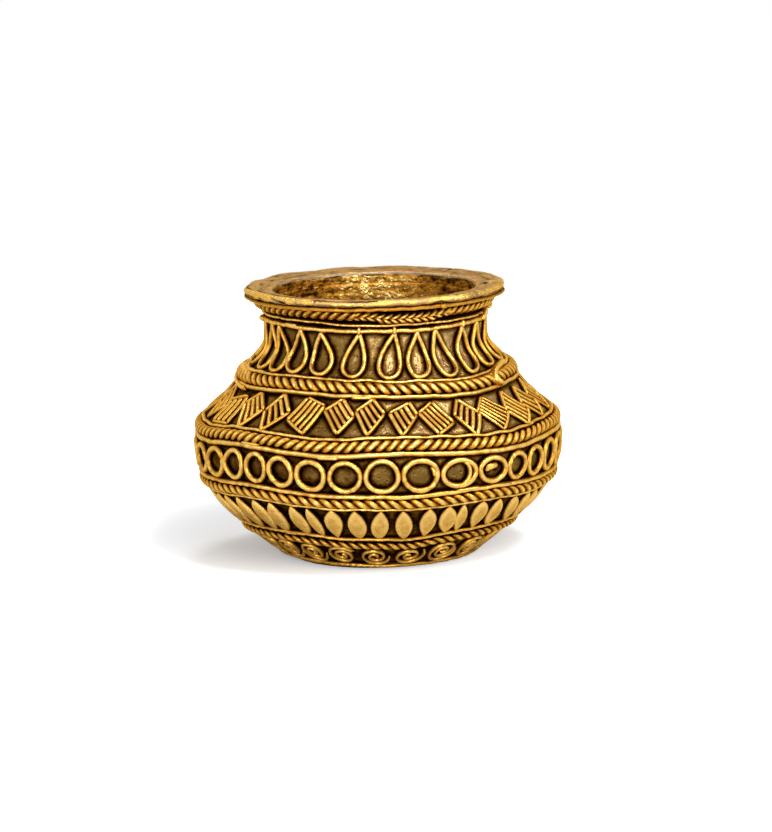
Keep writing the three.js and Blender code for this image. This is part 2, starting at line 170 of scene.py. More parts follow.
print("radius at belly and waist in mm:", wall_radius(BELLY_HEIGHT), wall_radius(NECK_WAIST))

# %% [markdown]
# ## The hand in the work
# Nothing on the pot is quite level or quite even. Two small helpers bring that in: a slow waver made of
# a few waves that close on themselves after a full turn, and a patchy noise on the wall that does the
# same. Both are seeded, so the pot comes out alike each time.

# %% Waver and patchy noise
FULL = 2 * math.pi


def full_circle(count, shift=0):
    """Evenly spaced angles of a full turn."""
    return FULL * (np.arange(count) + shift) / count


def waver(turn, reach, seed, slowest=5, fastest=26):
    """A sum of seeded waves, from the slowest to the fastest beat for a full turn."""
    rng = np.random.default_rng(seed)
    total = np.zeros_like(turn)
    for beats in range(slowest, fastest):
        total += rng.normal() * np.sin(beats * turn + rng.uniform(0, FULL))
    return reach * total / math.sqrt((fastest - slowest) / 2)


def patches(turn, z, across, tall, seed):
    """Smooth noise from -1 to 1 on the wall, with cells of a given number round and height."""
    rng = np.random.default_rng(seed)
    rows = 140
    table = rng.uniform(-1, 1, (rows, across))
    x = (turn / FULL % 1) * across
    y = z / tall + rows // 3
    i, k = np.floor(y).astype(int) % rows, np.floor(x).astype(int) % across
    v, u = y - np.floor(y), x - np.floor(x)
    u, v = u * u * (3 - 2 * u), v * v * (3 - 2 * v)
    low = table[i, k] * (1 - u) + table[i, (k + 1) % across] * u
    high = table[(i + 1) % rows, k] * (1 - u) + table[(i + 1) % rows, (k + 1) % across] * u
    return low * (1 - v) + high * v


# %% [markdown]
# ## Meshes from rows of points
# Every piece below is made of rows of points that close on themselves, bent into a tube, a ring or a
# pad, so one helper that joins the rows with four-sided faces makes them all. A second keeps several
# shapes as one piece. Each point also stores how worn and how shaded it is, on a thread its height off
# the wall from 0 to 1 at the crest: the materials read it to rub the crests bright, as hands and polish
# do, and to paint the deep places dark, partly as patina and partly as painted shade.

# %% Mesh helpers
laid_points = []  # where the threads lie, which the wall's shading asks later
finishes = {}     # the materials by name


def sheet(points, wear_and_shade, closed):
    """One shape: its points, its faces and how worn and how shaded each point is.

    If it is closed, its last row joins the first. If not, both are capped.
    """
    rows, columns = points.shape[:2]
    i, k = np.meshgrid(np.arange(rows if closed else rows - 1), np.arange(columns), indexing="ij")
    next_row, beside = (i + 1) % rows * columns, (k + 1) % columns
    corners = [i * columns + k, i * columns + beside, next_row + beside, next_row + k]
    faces = np.stack(corners, axis=-1).reshape(-1, 4).tolist()
    if not closed:
        first = list(range(columns))
        faces += [first[::-1], [(rows - 1) * columns + p for p in first]]
    return points.reshape(-1, 3), faces, np.broadcast_to(wear_and_shade, (rows, columns)).ravel()


def make_piece(name, shapes, replaced=(), used=("thread_brass",), laid=True):
    """A mesh object from one or more shapes, riding on the pot in place of its plain solids."""
    points, faces, values, start = [], [], [], 0
    for shape_points, shape_faces, shape_values in shapes:
        points.append(shape_points)
        values.append(shape_values)
        faces += [[start + p for p in face] for face in shape_faces]
        start += len(shape_points)
    points = np.concatenate(points)
    if laid:
        laid_points.append(points)
    mesh = bpy.data.meshes.new(name)
    mesh.from_pydata((points * MM).tolist(), [], faces)
    stored = mesh.attributes.new("wear_and_shade", "FLOAT", "POINT")
    stored.data.foreach_set("value", np.clip(np.concatenate(values), 0, 1).astype(np.float32))
    mesh.shade_smooth()
    piece = bpy.data.objects.new(name, mesh)
    bpy.context.scene.collection.objects.link(piece)
    for finish in used:
        mesh.materials.append(finishes[finish])
    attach(piece, "root")
    if replaced:
        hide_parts(*replaced)
    return piece


# %% [markdown]
# ## One tube for every thread
# A wax thread is a round string that sags a little where it touches the wall. It is swept along a path
# given as turns round the pot and seat heights on the wall. Free ends are rounded off. The same tube
# with winding ridges on it is a rope.

# %% Tube along a path on the wall
SEAT_GAP = 0.2  # the plain solids lie this far off the wall, and the fine threads fill it
SUNK = 0.25     # how far a thread is melted into the wall


def rounded_ends(count, taper):
    """Share of the full size along a free thread, rounded at both ends."""
    left = (np.arange(count) + 0.3) / taper
    right = left[::-1]
    share = np.clip(np.minimum(left, right), 0, 1)
    return np.sqrt(1 - (1 - share) ** 2)


def tube(turn, seat, depth, half_width, half_rise, top, closed, angle, swell=1.0, rub_and_shade=1.0):
    """A tube whose middle stands depth off the wall; top is the height of a full crest.

    Swell scales its section point by point, and the last argument darkens each point's colour with
    patina and painted shade.
    """
    turn, seat, depth, half_width, half_rise = np.broadcast_arrays(
        turn, seat, depth, half_width, half_rise)
    middle = off_wall(turn, seat, depth)
    square = off_wall(turn, seat, depth + 1) - middle
    if closed:
        along = np.roll(middle, -1, axis=0) - np.roll(middle, 1, axis=0)
    else:
        along = np.gradient(middle, axis=0)
    along /= np.linalg.norm(along, axis=1, keepdims=True)
    side = np.cross(square, along)
    side /= np.linalg.norm(side, axis=1, keepdims=True)
    out = np.cross(along, side)
    across = np.cos(angle) * half_width[:, None] * swell
    rise = np.sin(angle) * half_rise[:, None] * swell
    points = middle[:, None] + across[:, :, None] * side[:, None] + rise[:, :, None] * out[:, None]
    return sheet(points, (depth[:, None] + rise) / top * rub_and_shade, closed)


def laid_thread(turn, seat, width, rise, closed, sides=12, taper=4, size=1.0):
    """A round thread lying on the wall, crest at the seat gap plus its rise."""
    top = SEAT_GAP + rise
    share = np.ones(len(turn)) if closed else rounded_ends(len(turn), taper)
    share = share * size
    half_rise = (top + SUNK) / 2 * share
    angle = full_circle(sides)
    return tube(turn, seat, half_rise - SUNK, width / 2 * share, half_rise, top, closed, angle)


# %% [markdown]
# ## Where the threads lie
# These are the courses of the pot from the lip down, with the same heights, widths and sways as the
# solids. A rope's wires are laid against it, so they follow its sway. The free height between two
# courses is the band that holds a row of ornament.

# %% Courses
# How far each course sways up or down: (turn in degrees, millimetres)
LIP_SWAY = [(-150, 0.0), (-40, 0.4), (-8, 0.0), (8, -0.4), (25, -0.4), (45, 0.0)]
LIP_WIRE_SWAY = [(-150, 0.2), (-38, 0.6), (-8, -0.2), (8, -0.3), (45, -0.5)]
NECK_SWAY = [(-150, -0.2), (-55, 0.7), (-20, 0.2), (26, -0.2), (60, 0.0), (120, 0.3)]
SHOULDER_SWAY = [
    (-150, 0.3), (-70, 0.1), (-35, 0.7), (-5, 0.2), (12, -0.4), (40, -1.1), (70, -0.3), (130, 0.3),
]
BELLY_SWAY = [
    (-140, 0.4), (-75, -0.2), (-47, 1.3), (-14, 0.0), (2, 0.5), (45, -1.2), (72, -0.2), (130, 0.4),
]
FLANK_SWAY = [
    (-140, -0.3), (-72, 0.5), (-46, 1.6), (-10, -0.1), (10, -0.5), (35, 0.1), (62, -0.5), (130, 0.3),
]
LEAF_SWAY = [(-140, -0.3), (-42, 1.0), (-8, -0.5), (11, -1.1), (27, 0.2), (45, 0.6), (120, 0.0)]
FOOT_SWAY = [(-140, 0.2), (-55, 1.1), (-25, 0.3), (0, -0.2), (35, -0.3), (110, 0.1)]
NO_SWAY = [(0, 0)]
THREAD_GAP = 0.15  # between a rope and its wires
ROW_GAP = 0.35     # between a course and a row of ornament

COURSES = {
    "under_lip_wire": dict(z=77.9, sway=NO_SWAY, width=1.1, rise=1.0),
    "lip_rope": dict(z=75.4, sway=LIP_SWAY, width=3.2, rise=1.9, ridges=78, hand=1),
    "lip_rope_wire": dict(z=73.4, sway=LIP_WIRE_SWAY, width=0.9, rise=1.0),
    "neck_wire": dict(z=71.4, sway=NECK_SWAY, width=1.4, rise=1.2),
    "shoulder_upper_wire": dict(above="shoulder_rope", width=1.1, rise=1.1),
    "shoulder_rope": dict(z=56.7, sway=SHOULDER_SWAY, width=3.5, rise=2.1, ridges=84, hand=-1),
    "shoulder_lower_wire": dict(below="shoulder_rope", width=1.3, rise=1.2),
    "belly_upper_wire": dict(above="belly_rope", width=1.1, rise=1.1),
    "belly_rope": dict(z=41.4, sway=BELLY_SWAY, width=3.1, rise=2.0, ridges=110, hand=1),
    "belly_lower_wire": dict(below="belly_rope", width=1.6, rise=1.3),
    "flank_upper_wire": dict(above="flank_rope", width=1.4, rise=1.3),
    "flank_rope": dict(z=23.9, sway=FLANK_SWAY, width=2.8, rise=1.9, ridges=100, hand=-1),
    "flank_lower_wire": dict(below="flank_rope", width=0.9, rise=1.0),
    "leaf_wire": dict(z=11.9, sway=LEAF_SWAY, width=0.9, rise=1.0),
    "foot_rope": dict(z=9.2, sway=LEAF_SWAY, width=2.4, rise=1.7, ridges=88, hand=-1),
    "foot_wire": dict(z=1.0, sway=FOOT_SWAY, width=1.1, rise=1.1),
}
# The two courses that each row of ornament lies between
BANDS = {
    "drops": ("neck_wire", "shoulder_upper_wire"),
    "lozenges": ("shoulder_lower_wire", "belly_upper_wire"),
    "rings": ("belly_lower_wire", "flank_upper_wire"),
    "leaves": ("flank_lower_wire", "leaf_wire"),
    "spirals": ("foot_rope", "foot_wire"),
}


def sway_at(sway, turn):
    """The sway at each turn, eased from one of its points to the next."""
    first = sway[0][0]
    at = (np.degrees(turn) - first) % 360 + first
    knots = np.array([*sway, (first + 360, sway[0][1])], float)
    i = np.clip(np.searchsorted(knots[:, 0], at, side="right") - 1, 0, len(knots) - 2)
    t = (at - knots[i, 0]) / (knots[i + 1, 0] - knots[i, 0])
    return knots[i, 1] + (knots[i + 1, 1] - knots[i, 1]) * (1 - np.cos(np.pi * t)) / 2


def course_seat(name, turn):
    """Seat height of a course's middle at each turn."""
    course = COURSES[name]
    if "z" in course:
        return seat_under(course["z"] + sway_at(course["sway"], turn), course["rise"] + SEAT_GAP)
    rope = course.get("above") or course.get("below")
    seat = course_seat(rope, turn)
    reach = (COURSES[rope]["width"] + course["width"]) / 2 + THREAD_GAP
    sign = 1 if "above" in course else -1
    return seat + sign * reach / wall_stretch(seat)


def band_at(row, turn):
    """Highest and lowest free seat between the two courses of a row."""
    above, below = BANDS[row]
    high, low = course_seat(above, turn), course_seat(below, turn)
    top = high - (COURSES[above]["width"] / 2 + ROW_GAP) / wall_stretch(high)
    bottom = low + (COURSES[below]["width"] / 2 + ROW_GAP) / wall_stretch(low)
    return top, bottom


for row in BANDS:
    print("band of", row, "at the front:", [round(float(v), 2) for v in band_at(row, 0.0)])

# %% [markdown]
# ## Brass that has been rubbed, with painted shade
# New cast brass is dull and dark. Polishing cleans only what the cloth reaches, so the crests shine
# yellow and the flanks stay orange-brown. The corners by the wall are nearly black: partly patina that
# the cloth misses, and partly painted shade. The group below turns a height between 0 and 1 into that
# run of colours, and breaks it up with a fine noise. It gives a colour and a roughness, and the
# Principled shader itself stays in each material.

# %% Shader group: rubbed brass with painted shade


def new_group(name, inputs, outputs):
    group = bpy.data.node_groups.new(name, "ShaderNodeTree")
    for title, kind, value in inputs:
        group.interface.new_socket(title, in_out="INPUT", socket_type=kind).default_value = value
    for title, kind in outputs:
        group.interface.new_socket(title, in_out="OUTPUT", socket_type=kind)
    return group, group.nodes.new("NodeGroupInput"), group.nodes.new("NodeGroupOutput")


def spread(group, source, low, high, start, end):
    """A smooth step from start to end as the source goes from low to high."""
    node = group.nodes.new("ShaderNodeMapRange")
    node.interpolation_type = "SMOOTHSTEP"
    group.links.new(source, node.inputs["Value"])
    for title, value in (("From Min", low), ("From Max", high), ("To Min", start), ("To Max", end)):
        node.inputs[title].default_value = value
    return node.outputs["Result"]


def blended(group, share, first, second):
    """From the first colour to the second as the share goes from 0 to 1."""
    node = group.nodes.new("ShaderNodeMix")
    node.data_type = "RGBA"
    group.links.new(share, node.inputs["Factor"])
    group.links.new(first, node.inputs["A"])
    group.links.new(second, node.inputs["B"])
    return node.outputs["Result"]


def counted(group, operation, first, second):
    """A sum, product or other operation on two values, each a number or a socket."""
    node = group.nodes.new("ShaderNodeMath")
    node.operation = operation
    for socket, value in zip(node.inputs, (first, second)):
        if isinstance(value, (int, float)):
            socket.default_value = value
        else:
            group.links.new(value, socket)
    return node.outputs["Value"]


def noise(group, scale, detail, rough=0.6):
    """Fine noise in the pot's own space, with its scale from a socket."""
    place = group.nodes.new("ShaderNodeTexCoord")
    node = group.nodes.new("ShaderNodeTexNoise")
    group.links.new(place.outputs["Object"], node.inputs["Vector"])
    group.links.new(scale, node.inputs["Scale"])
    node.inputs["Detail"].default_value = detail
    node.inputs["Roughness"].default_value = rough
    return node.outputs["Fac"]


# How worn and how shaded a point is where each colour begins to take over, and where it has done so
TAKES_OVER = {"Flank": (0.06, 0.28), "Face": (0.24, 0.60), "Crest": (0.66, 1.02)}
ROUGH_DEEP, ROUGH_CREST = 0.60, 0.25

rubbed_and_shaded, start, end = new_group(
    "rubbed_and_shaded_brass",
    [
        ("Height", "NodeSocketFloat", 0.5),
        ("Soot And Shade", "NodeSocketColor", (0.006, 0.003, 0.001, 1)),
        ("Flank", "NodeSocketColor", (0.20, 0.085, 0.018, 1)),
        ("Face", "NodeSocketColor", (0.55, 0.31, 0.075, 1)),
        ("Crest", "NodeSocketColor", (0.83, 0.58, 0.22, 1)),
        ("Blotch", "NodeSocketFloat", 0.35),
        ("Blotch Scale", "NodeSocketFloat", 900.0),
    ],
    [("Colour", "NodeSocketColor"), ("Roughness", "NodeSocketFloat")],
)
blotch = counted(rubbed_and_shaded, "SUBTRACT", noise(rubbed_and_shaded, start.outputs["Blotch Scale"], 5), 0.5)
shift = counted(rubbed_and_shaded, "MULTIPLY", blotch, start.outputs["Blotch"])
wear_and_shade = counted(rubbed_and_shaded, "ADD", start.outputs["Height"], shift)
# The darkest colour, in the deep places, is patina and painted shade
colour = start.outputs["Soot And Shade"]
for title, (low, high) in TAKES_OVER.items():
    share = spread(rubbed_and_shaded, wear_and_shade, low, high, 0, 1)
    colour = blended(rubbed_and_shaded, share, colour, start.outputs[title])
roughness = spread(rubbed_and_shaded, wear_and_shade, 0.1, 1.0, ROUGH_DEEP, ROUGH_CREST)
rubbed_and_shaded.links.new(colour, end.inputs["Colour"])
rubbed_and_shaded.links.new(roughness, end.inputs["Roughness"])
print("sockets of the brass group:", [socket.name for socket in rubbed_and_shaded.interface.items_tree])

# %% [markdown]
# ## The skin of a casting
# Metal that was poured against clay keeps the clay's grain: fine sand marks, and here and there a pit.
# A second group gives that as one height, and a Bump node in each material turns it into normals. The
# grain has to be well under a millimetre, or the pot would look like a small model of itself.

# %% Shader group: casting skin
skin, start, end = new_group(
    "casting_skin",
    [
        ("Grain Scale", "NodeSocketFloat", 2400.0),
        ("Pit Scale", "NodeSocketFloat", 700.0),
        ("Pits", "NodeSocketFloat", 0.5),
    ],
    [("Height", "NodeSocketFloat")],
)
place = skin.nodes.new("ShaderNodeTexCoord")
cells = skin.nodes.new("ShaderNodeTexVoronoi")
skin.links.new(place.outputs["Object"], cells.inputs["Vector"])
skin.links.new(start.outputs["Pit Scale"], cells.inputs["Scale"])
pit = spread(skin, cells.outputs["Distance"], 0.05, 0.35, -1.0, 0.0)
pit = counted(skin, "MULTIPLY", pit, start.outputs["Pits"])
grain = noise(skin, start.outputs["Grain Scale"], 4, 0.65)
skin.links.new(counted(skin, "ADD", grain, pit), end.inputs["Height"])
print("sockets of the skin group:", [socket.name for socket in skin.interface.items_tree])

# %% [markdown]
# ## Seven finishes
# The threads, the leaf pads, the wall between them, the lip, its inner rim with its painted highlight,
# the throat and the base take different rubbing, so each is a material of its own that places the same
# two groups with its own values. The threads read their crest height, and the wall reads how far it is
# from the nearest thread, which is where a cloth begins to reach it and the painted shade beside it
# ends.

# %% Materials
EDGE_TINT = (1.0, 0.76, 0.40, 1)  # brass that is seen edge-on stays warm
SOOT_AND_SHADE = (0.004, 0.0012, 0.0003)
BRASSES = {
    # colours of soot and shade, flank, face and crest; then grain scale, pits, bump in mm, blotch,
    # blotch scale
    "thread_brass": (
        (SOOT_AND_SHADE, (0.20, 0.060, 0.005), (0.47, 0.215, 0.022), (0.84, 0.55, 0.145)),
        1700, 0.3, 0.09, 0.5, 700),
    "pad_brass": (
        (SOOT_AND_SHADE, (0.22, 0.078, 0.008), (0.62, 0.340, 0.070), (0.92, 0.61, 0.17)),
        2200, 0.4, 0.12, 0.55, 450),
    "wall_brass": (
        (SOOT_AND_SHADE, (0.055, 0.018, 0.0015), (0.150, 0.083, 0.018), (0.42, 0.26, 0.105)),
        1300, 0.8, 0.25, 0.9, 330),
    "lip_brass": (
        ((0.006, 0.002, 0.001), (0.22, 0.125, 0.058), (0.40, 0.235, 0.098), (0.78, 0.47, 0.100)),
        1500, 0.6, 0.25, 0.9, 300),
    # The pale inner rim of the lip: wear and a painted highlight
    "rim_wear_and_highlight": (
        ((0.02, 0.012, 0.008), (0.22, 0.16, 0.11), (0.22, 0.170, 0.120), (0.29, 0.230, 0.165)),
        1500, 0.5, 0.20, 0.9, 400),
    # The throat's crest colour is its painted pool of light
    "throat_brass": (
        ((0.02, 0.007, 0.001), (0.14, 0.048, 0.004), (0.42, 0.19, 0.022), (0.90, 0.62, 0.20)),
        1300, 0.9, 0.40, 1.1, 520),
    "base_brass": (
        (SOOT_AND_SHADE, (0.035, 0.010, 0.004), (0.085, 0.026, 0.010), (0.20, 0.075, 0.03)),
        1500, 0.8, 0.25, 0.8, 350),
}


def brass_finish(name, tones, grain_scale, pits, depth_mm, blotch_share, blotch_scale):
    """A metal whose colour and roughness follow the stored wear and painted shade, with the casting's
    skin on it.
    """
    material = bpy.data.materials.new(name)
    material.use_nodes = True
    tree = material.node_tree
    shader = tree.nodes["Principled BSDF"]
    shader.inputs["Metallic"].default_value = 1.0
    shader.inputs["Specular Tint"].default_value = EDGE_TINT
    height = tree.nodes.new("ShaderNodeAttribute")
    height.attribute_type = "GEOMETRY"
    height.attribute_name = "wear_and_shade"
    brass = tree.nodes.new("ShaderNodeGroup")
    brass.node_tree = rubbed_and_shaded
    for title, tone in zip(("Soot And Shade", "Flank", "Face", "Crest"), tones):
        brass.inputs[title].default_value = (*tone, 1)
    brass.inputs["Blotch"].default_value = blotch_share
    brass.inputs["Blotch Scale"].default_value = blotch_scale
    surface = tree.nodes.new("ShaderNodeGroup")
    surface.node_tree = skin
    surface.inputs["Grain Scale"].default_value = grain_scale
    surface.inputs["Pits"].default_value = pits
    bump = tree.nodes.new("ShaderNodeBump")
    bump.inputs["Distance"].default_value = depth_mm * MM
    tree.links.new(height.outputs["Fac"], brass.inputs["Height"])
    tree.links.new(surface.outputs["Height"], bump.inputs["Height"])
    tree.links.new(brass.outputs["Colour"], shader.inputs["Base Color"])
    tree.links.new(brass.outputs["Roughness"], shader.inputs["Roughness"])
    tree.links.new(bump.outputs["Normal"], shader.inputs["Normal"])
    return material


for name, values in BRASSES.items():
    finishes[name] = brass_finish(name, *values)
print("finishes:", list(finishes))

# %% [markdown]
# ## Plain wires
# Eleven courses are single wires. Each is a closed tube round the pot. The maker's thread is never quite
# even, so its width and path waver by a tenth of a millimetre or so.

# %% Wires that run right round
ROUND = 720   # points along a wire
PLUMP = 1.10  # the soft threads spread a little wider than the solids until they touch
round_turn = full_circle(ROUND)
wires = {name: course for name, course in COURSES.items() if "ridges" not in course}
for number, name in enumerate(COURSES):
    if name not in wires:
        continue
    seat = course_seat(name, round_turn) + waver(round_turn, 0.06, 100 + number, 8, 40)
    thinned = np.abs(waver(round_turn, 0.05, 200 + number, 10, 60))
    size = 0.98 - thinned + waver(round_turn, 0.012, 250 + number, 60, 150)
    width, rise = wires[name]["width"] * PLUMP, wires[name]["rise"]
    shape = laid_thread(round_turn, seat, width, rise, True, size=np.minimum(size, 1.0))
    make_piece(f"{name}_thread", [shape], [name])
print("wires laid:", len(wires))

# %% [markdown]
# ## Twisted ropes
# Two soft threads twisted together show a row of slanting ridges with black slots between. Pressed on
# the wall they melt into one string, so a rope is one tube with two ridges that wind round it, and the
# slots are real form. They are painted darker as well, partly as patina and partly as painted shade.
# The slant to the left or the right is the hand of the twist.

# %% Ropes
STEPS_PER_RIDGE = 10
RIDGE_SHARE = 0.74  # how much of the pitch is ridge, and the rest is slot
SLOT_DEPTH = 0.40   # how deep a slot is, as a share of the tube's radius
# How light a slot's colour stays: partly patina that a cloth misses, partly painted shade
SLOT_RUB_AND_SHADE = 0.15     # how much of a slot a cloth reaches
ROPE_PLUMP = 1.06
# Points round a rope, close together on the side that shows
ROPE_ANGLES = np.radians([*range(-20, 201, 12), 235, 270, 305])


def rope_shape(turn, seat, width, rise, ridges, hand, closed, jitter_seed):
    """A twisted rope along a path; ridges are counted for a full turn of the pot."""
    top = SEAT_GAP + rise
    twist = hand * ridges / 2 * turn + waver(turn, 0.12, jitter_seed, 6, 30)
    off_ridge = np.arccos(np.abs(np.cos(twist[:, None] + ROPE_ANGLES))) / (math.pi / 2)
    ridge = np.clip(1 - (off_ridge / RIDGE_SHARE) ** 2, 0, 1) ** 0.6
    share = np.ones(len(turn)) if closed else rounded_ends(len(turn), 6)
    half_rise = (top + SUNK) / 2 * share
    swell = 1 - SLOT_DEPTH * (1 - ridge)
    rub_and_shade = SLOT_RUB_AND_SHADE + (1 - SLOT_RUB_AND_SHADE) * ridge
    depth, half_width = half_rise - SUNK, width / 2 * share
    return tube(turn, seat, depth, half_width, half_rise, top, closed, ROPE_ANGLES, swell, rub_and_shade)


for number, (name, course) in enumerate(COURSES.items()):
    if name in wires or name == "lip_rope":
        continue
    turn = full_circle(course["ridges"] * STEPS_PER_RIDGE)
    seat = course_seat(name, turn) + waver(turn, 0.05, 300 + number, 8, 30)
    width, rise, ridges, hand = (course[key] for key in ("width", "rise", "ridges", "hand"))
    shape = rope_shape(turn, seat, width * ROPE_PLUMP, rise, ridges, hand, True, number)
    make_piece(f"{name}_strands", [shape], [name])
print("points laid so far:", sum(len(points) for points in laid_points))

# %% [markdown]
# ## The rope under the lip
# This one changes on its way round. Over the front right it is two thin ropes of opposite twist lying
# side by side, which read as a row of chevrons. Elsewhere one thick rope takes their place. Each length
# is an open rope whose ends run under the others.

# %% Rope under the lip
PLAIT_FROM, PLAIT_TO = math.radians(-9), math.radians(39)
ROPE_TUCK, PLAIT_TUCK = 0.03, 0.02  # how far the ends run under each other, in radians
SLIM, LOW, TIGHT = 0.54, 0.9, 1.2   # a thin rope's width, rise and ridges against the thick one's
lip_course = COURSES["lip_rope"]
width, rise, ridges = lip_course["width"] * ROPE_PLUMP, lip_course["rise"], lip_course["ridges"]
turn = np.linspace(PLAIT_TO - ROPE_TUCK, PLAIT_FROM + ROPE_TUCK + FULL, 700)
seat = course_seat("lip_rope", turn)
shapes = [rope_shape(turn, seat, width, rise, ridges, lip_course["hand"], False, 41)]

turn = np.linspace(PLAIT_FROM - PLAIT_TUCK, PLAIT_TO + PLAIT_TUCK, 170)
seat = course_seat("lip_rope", turn)
offset = width / 4 / wall_stretch(seat)
for hand in (1, -1):
    thin = width * SLIM, rise * LOW, ridges * TIGHT
    shapes.append(rope_shape(turn, seat + hand * offset, *thin, hand, False, 42))
make_piece("lip_rope_strands", shapes, ["lip_rope"])
print("ropes under the lip:", len(shapes))

# %% [markdown]
# ## Drops on the neck
# Each drop is a thread bent round with its two ends pinched together at the top. The ones that the
# photograph shows are placed one by one, with their lean and their fullness to each side. The rest of
# the row repeats them with small seeded changes.

# %% Drops
DROP_THREAD = dict(width=1.5, rise=1.1)
DROP_POINT = 1.3                    # how sharply a drop narrows towards its tip
DROP_OVER, DROP_UNDER = 0.25, 0.15  # how far it reaches past the top and the bottom of its band
DROP_LEAN = (-1.5, 1.5)             # degrees, of the unseen ones
DROP_HALF = (5.9, 6.7)              # degrees from the middle of an unseen one to its side
DROP_COUNT = 24
SEEN_DROPS = [
    # tip turn, round turn, left-most turn, right-most turn
    (-67.1, -66.3, -73.2, -60.4), (-59.0, -54.5, -61.6, -48.7), (-41.2, -41.0, -49.2, -36.1),
    (-28.9, -26.8, -34.3, -21.2), (-8.1, -10.6, -17.2, -4.6), (9.6, 5.9, 0.1, 13.0),
    (21.6, 19.2, 14.6, 27.2), (32.0, 34.0, 28.9, 41.0), (50.4, 47.6, 43.9, 56.2),
    (64.7, 63.0, 57.4, 69.8), (84.0, 79.4, 74.2, 86.6),
]


def whole_row(seen, count):
    """The seen turns in degrees, then evenly spread ones on the far side, in radians."""
    arc = 360 - (seen[-1] - seen[0])
    rest = count - len(seen)
    return np.radians([*seen, *(seen[-1] + arc * (i + 1) / (rest + 1) for i in range(rest))])


def drop_path(tip, bottom, leftmost, rightmost, steps=44):
    """A loop with a point at its tip, which reaches the given turns where it is widest."""
    angle = full_circle(steps, 0.5)
    band_top, band_bottom = band_at("drops", (tip + bottom) / 2)
    half = DROP_THREAD["width"] / 2
    high = band_top + DROP_OVER
    low = band_bottom + half / wall_stretch(band_bottom) - DROP_UNDER
    share_up = (1 + np.cos(angle)) / 2
    seat = low + (high - low) * share_up
    widest_at = 1 / (DROP_POINT + 2)
    peak = 2 * (1 - widest_at) ** ((DROP_POINT + 1) / 2) * math.sqrt(widest_at)
    out = np.sin(angle) * np.sin(angle / 2) ** DROP_POINT / peak
    lean = bottom + (tip - bottom) * share_up
    lean_wide = bottom + (tip - bottom) * widest_at
    inset = half / wall_radius(low)
    reach = np.where(out > 0, rightmost - lean_wide - inset, lean_wide - leftmost - inset)
    return lean + out * reach, seat


rng = np.random.default_rng(7)
tips, bottoms = (whole_row(column, DROP_COUNT) for column in list(zip(*SEEN_DROPS))[:2])
for i in range(DROP_COUNT):
    if i < len(SEEN_DROPS):
        left, right_end = np.radians(SEEN_DROPS[i][2:])
    else:
        bottoms[i] += np.radians(rng.uniform(*DROP_LEAN))
        left = bottoms[i] - np.radians(rng.uniform(*DROP_HALF))
        right_end = bottoms[i] + np.radians(rng.uniform(*DROP_HALF))
    turn, seat = drop_path(tips[i], bottoms[i], left, right_end)
    round_drop = full_circle(len(turn))
    turn = turn + waver(round_drop, 0.003, 700 + i, 2, 6)
    size = 0.97 - np.abs(waver(round_drop, 0.05, 800 + i, 2, 12))
    shape = laid_thread(turn, seat, **DROP_THREAD, closed=True, size=size)
    make_piece(f"drop_thread_{i + 1:02d}", [shape], [f"teardrop_{i + 1:02d}"])
print("drops:", DROP_COUNT)

# %% [markdown]
# ## Hatched lozenges on the shoulder
# A lozenge is four or five short threads laid side by side, closed by a thread across each end. Each
# seen one keeps its own four corners, since no two are alike. The corners are given in turn and height
# from one to the next round the piece, and the hatch runs along the first side or along the second.

# %% Lozenges
LOZENGE_THREAD = dict(width=1.2, rise=1.0)
LOZENGE_SPREAD = 1.07  # the corners are read at the crests, and the threads reach past them
HATCH_SHARE = 0.84     # a hatching thread's width as a share of the spacing
HATCH_WIDEST = 1.45
SIDE_COUNT, SIDE_SHARE = 4, 0.45  # the unseen ones that stand at the sides are hatched openly
# How the unseen ones vary: half width and lean in degrees, height as a share of the band's, and how
# far the middle and the side corners shift up or down
LOZENGE_HALF, LOZENGE_LEAN, LOZENGE_HIGH = (5.6, 6.1), (-1.5, 1.5), (0.90, 0.98)
MIDDLE_SHIFT, CORNER_SHIFT = (-0.2, 0.2), (-0.6, 0.6)
LOZENGE_COUNT = 29
SEEN_LOZENGES = [
    # four corners as (turn, height), side that the hatch runs along, number of threads, hatch share
    ([(-71.9, 49.8), (-61.9, 51.7), (-61.2, 44.9), (-70.9, 44.3)], 1, 4, 0.55),
    ([(-59.3, 50.1), (-52.9, 53.3), (-47.6, 49.5), (-52.8, 44.9)], 1, 5, 0.98),
    ([(-45.5, 49.3), (-39.8, 53.8), (-34.7, 49.5), (-41.6, 45.0)], 1, 5, 0.98),
    ([(-28.2, 53.4), (-20.9, 51.7), (-25.4, 45.0), (-33.1, 47.9)], 1, 5, 0.92),
    ([(-19.6, 50.5), (-13.5, 53.3), (-8.9, 49.2), (-13.5, 45.2)], 1, 5, 0.90),
    ([(-7.6, 50.4), (-1.6, 53.2), (2.3, 49.7), (-3.4, 44.9)], 1, 5, 0.86),
    ([(4.8, 49.8), (12.3, 52.0), (14.2, 49.1), (8.1, 44.5)], 1, 5, 0.84),
    ([(15.6, 49.4), (21.2, 51.7), (26.5, 46.6), (20.2, 44.2)], 1, 5, 0.80),
    ([(32.4, 51.7), (38.5, 48.0), (33.2, 42.9), (28.9, 48.1)], 1, 5, 0.74),
    ([(44.0, 51.4), (52.2, 47.3), (44.8, 43.1), (39.4, 48.4)], 0, 6, 0.60),
    ([(56.7, 51.8), (64.0, 46.6), (57.7, 43.0), (52.4, 47.2)], 0, 5, 0.60),
    ([(68.0, 51.8), (76.4, 47.6), (70.0, 43.7), (64.9, 47.8)], 0, 4, 0.55),
]
LOZENGE_TURNS = [-66.5, -53, -40, -27, -14, -2.5, 9.5, 21, 33.5, 46, 58, 70]


def straight_thread(start, end, width, rise, size=1.0, steps=12):
    """A short thread between two (turn, seat) points."""
    t = np.linspace(0, 1, steps)
    turn = start[0] + (end[0] - start[0]) * t
    seat = start[1] + (end[1] - start[1]) * t
    return laid_thread(turn, seat, width, rise, False, 10, taper=1.6, size=size)


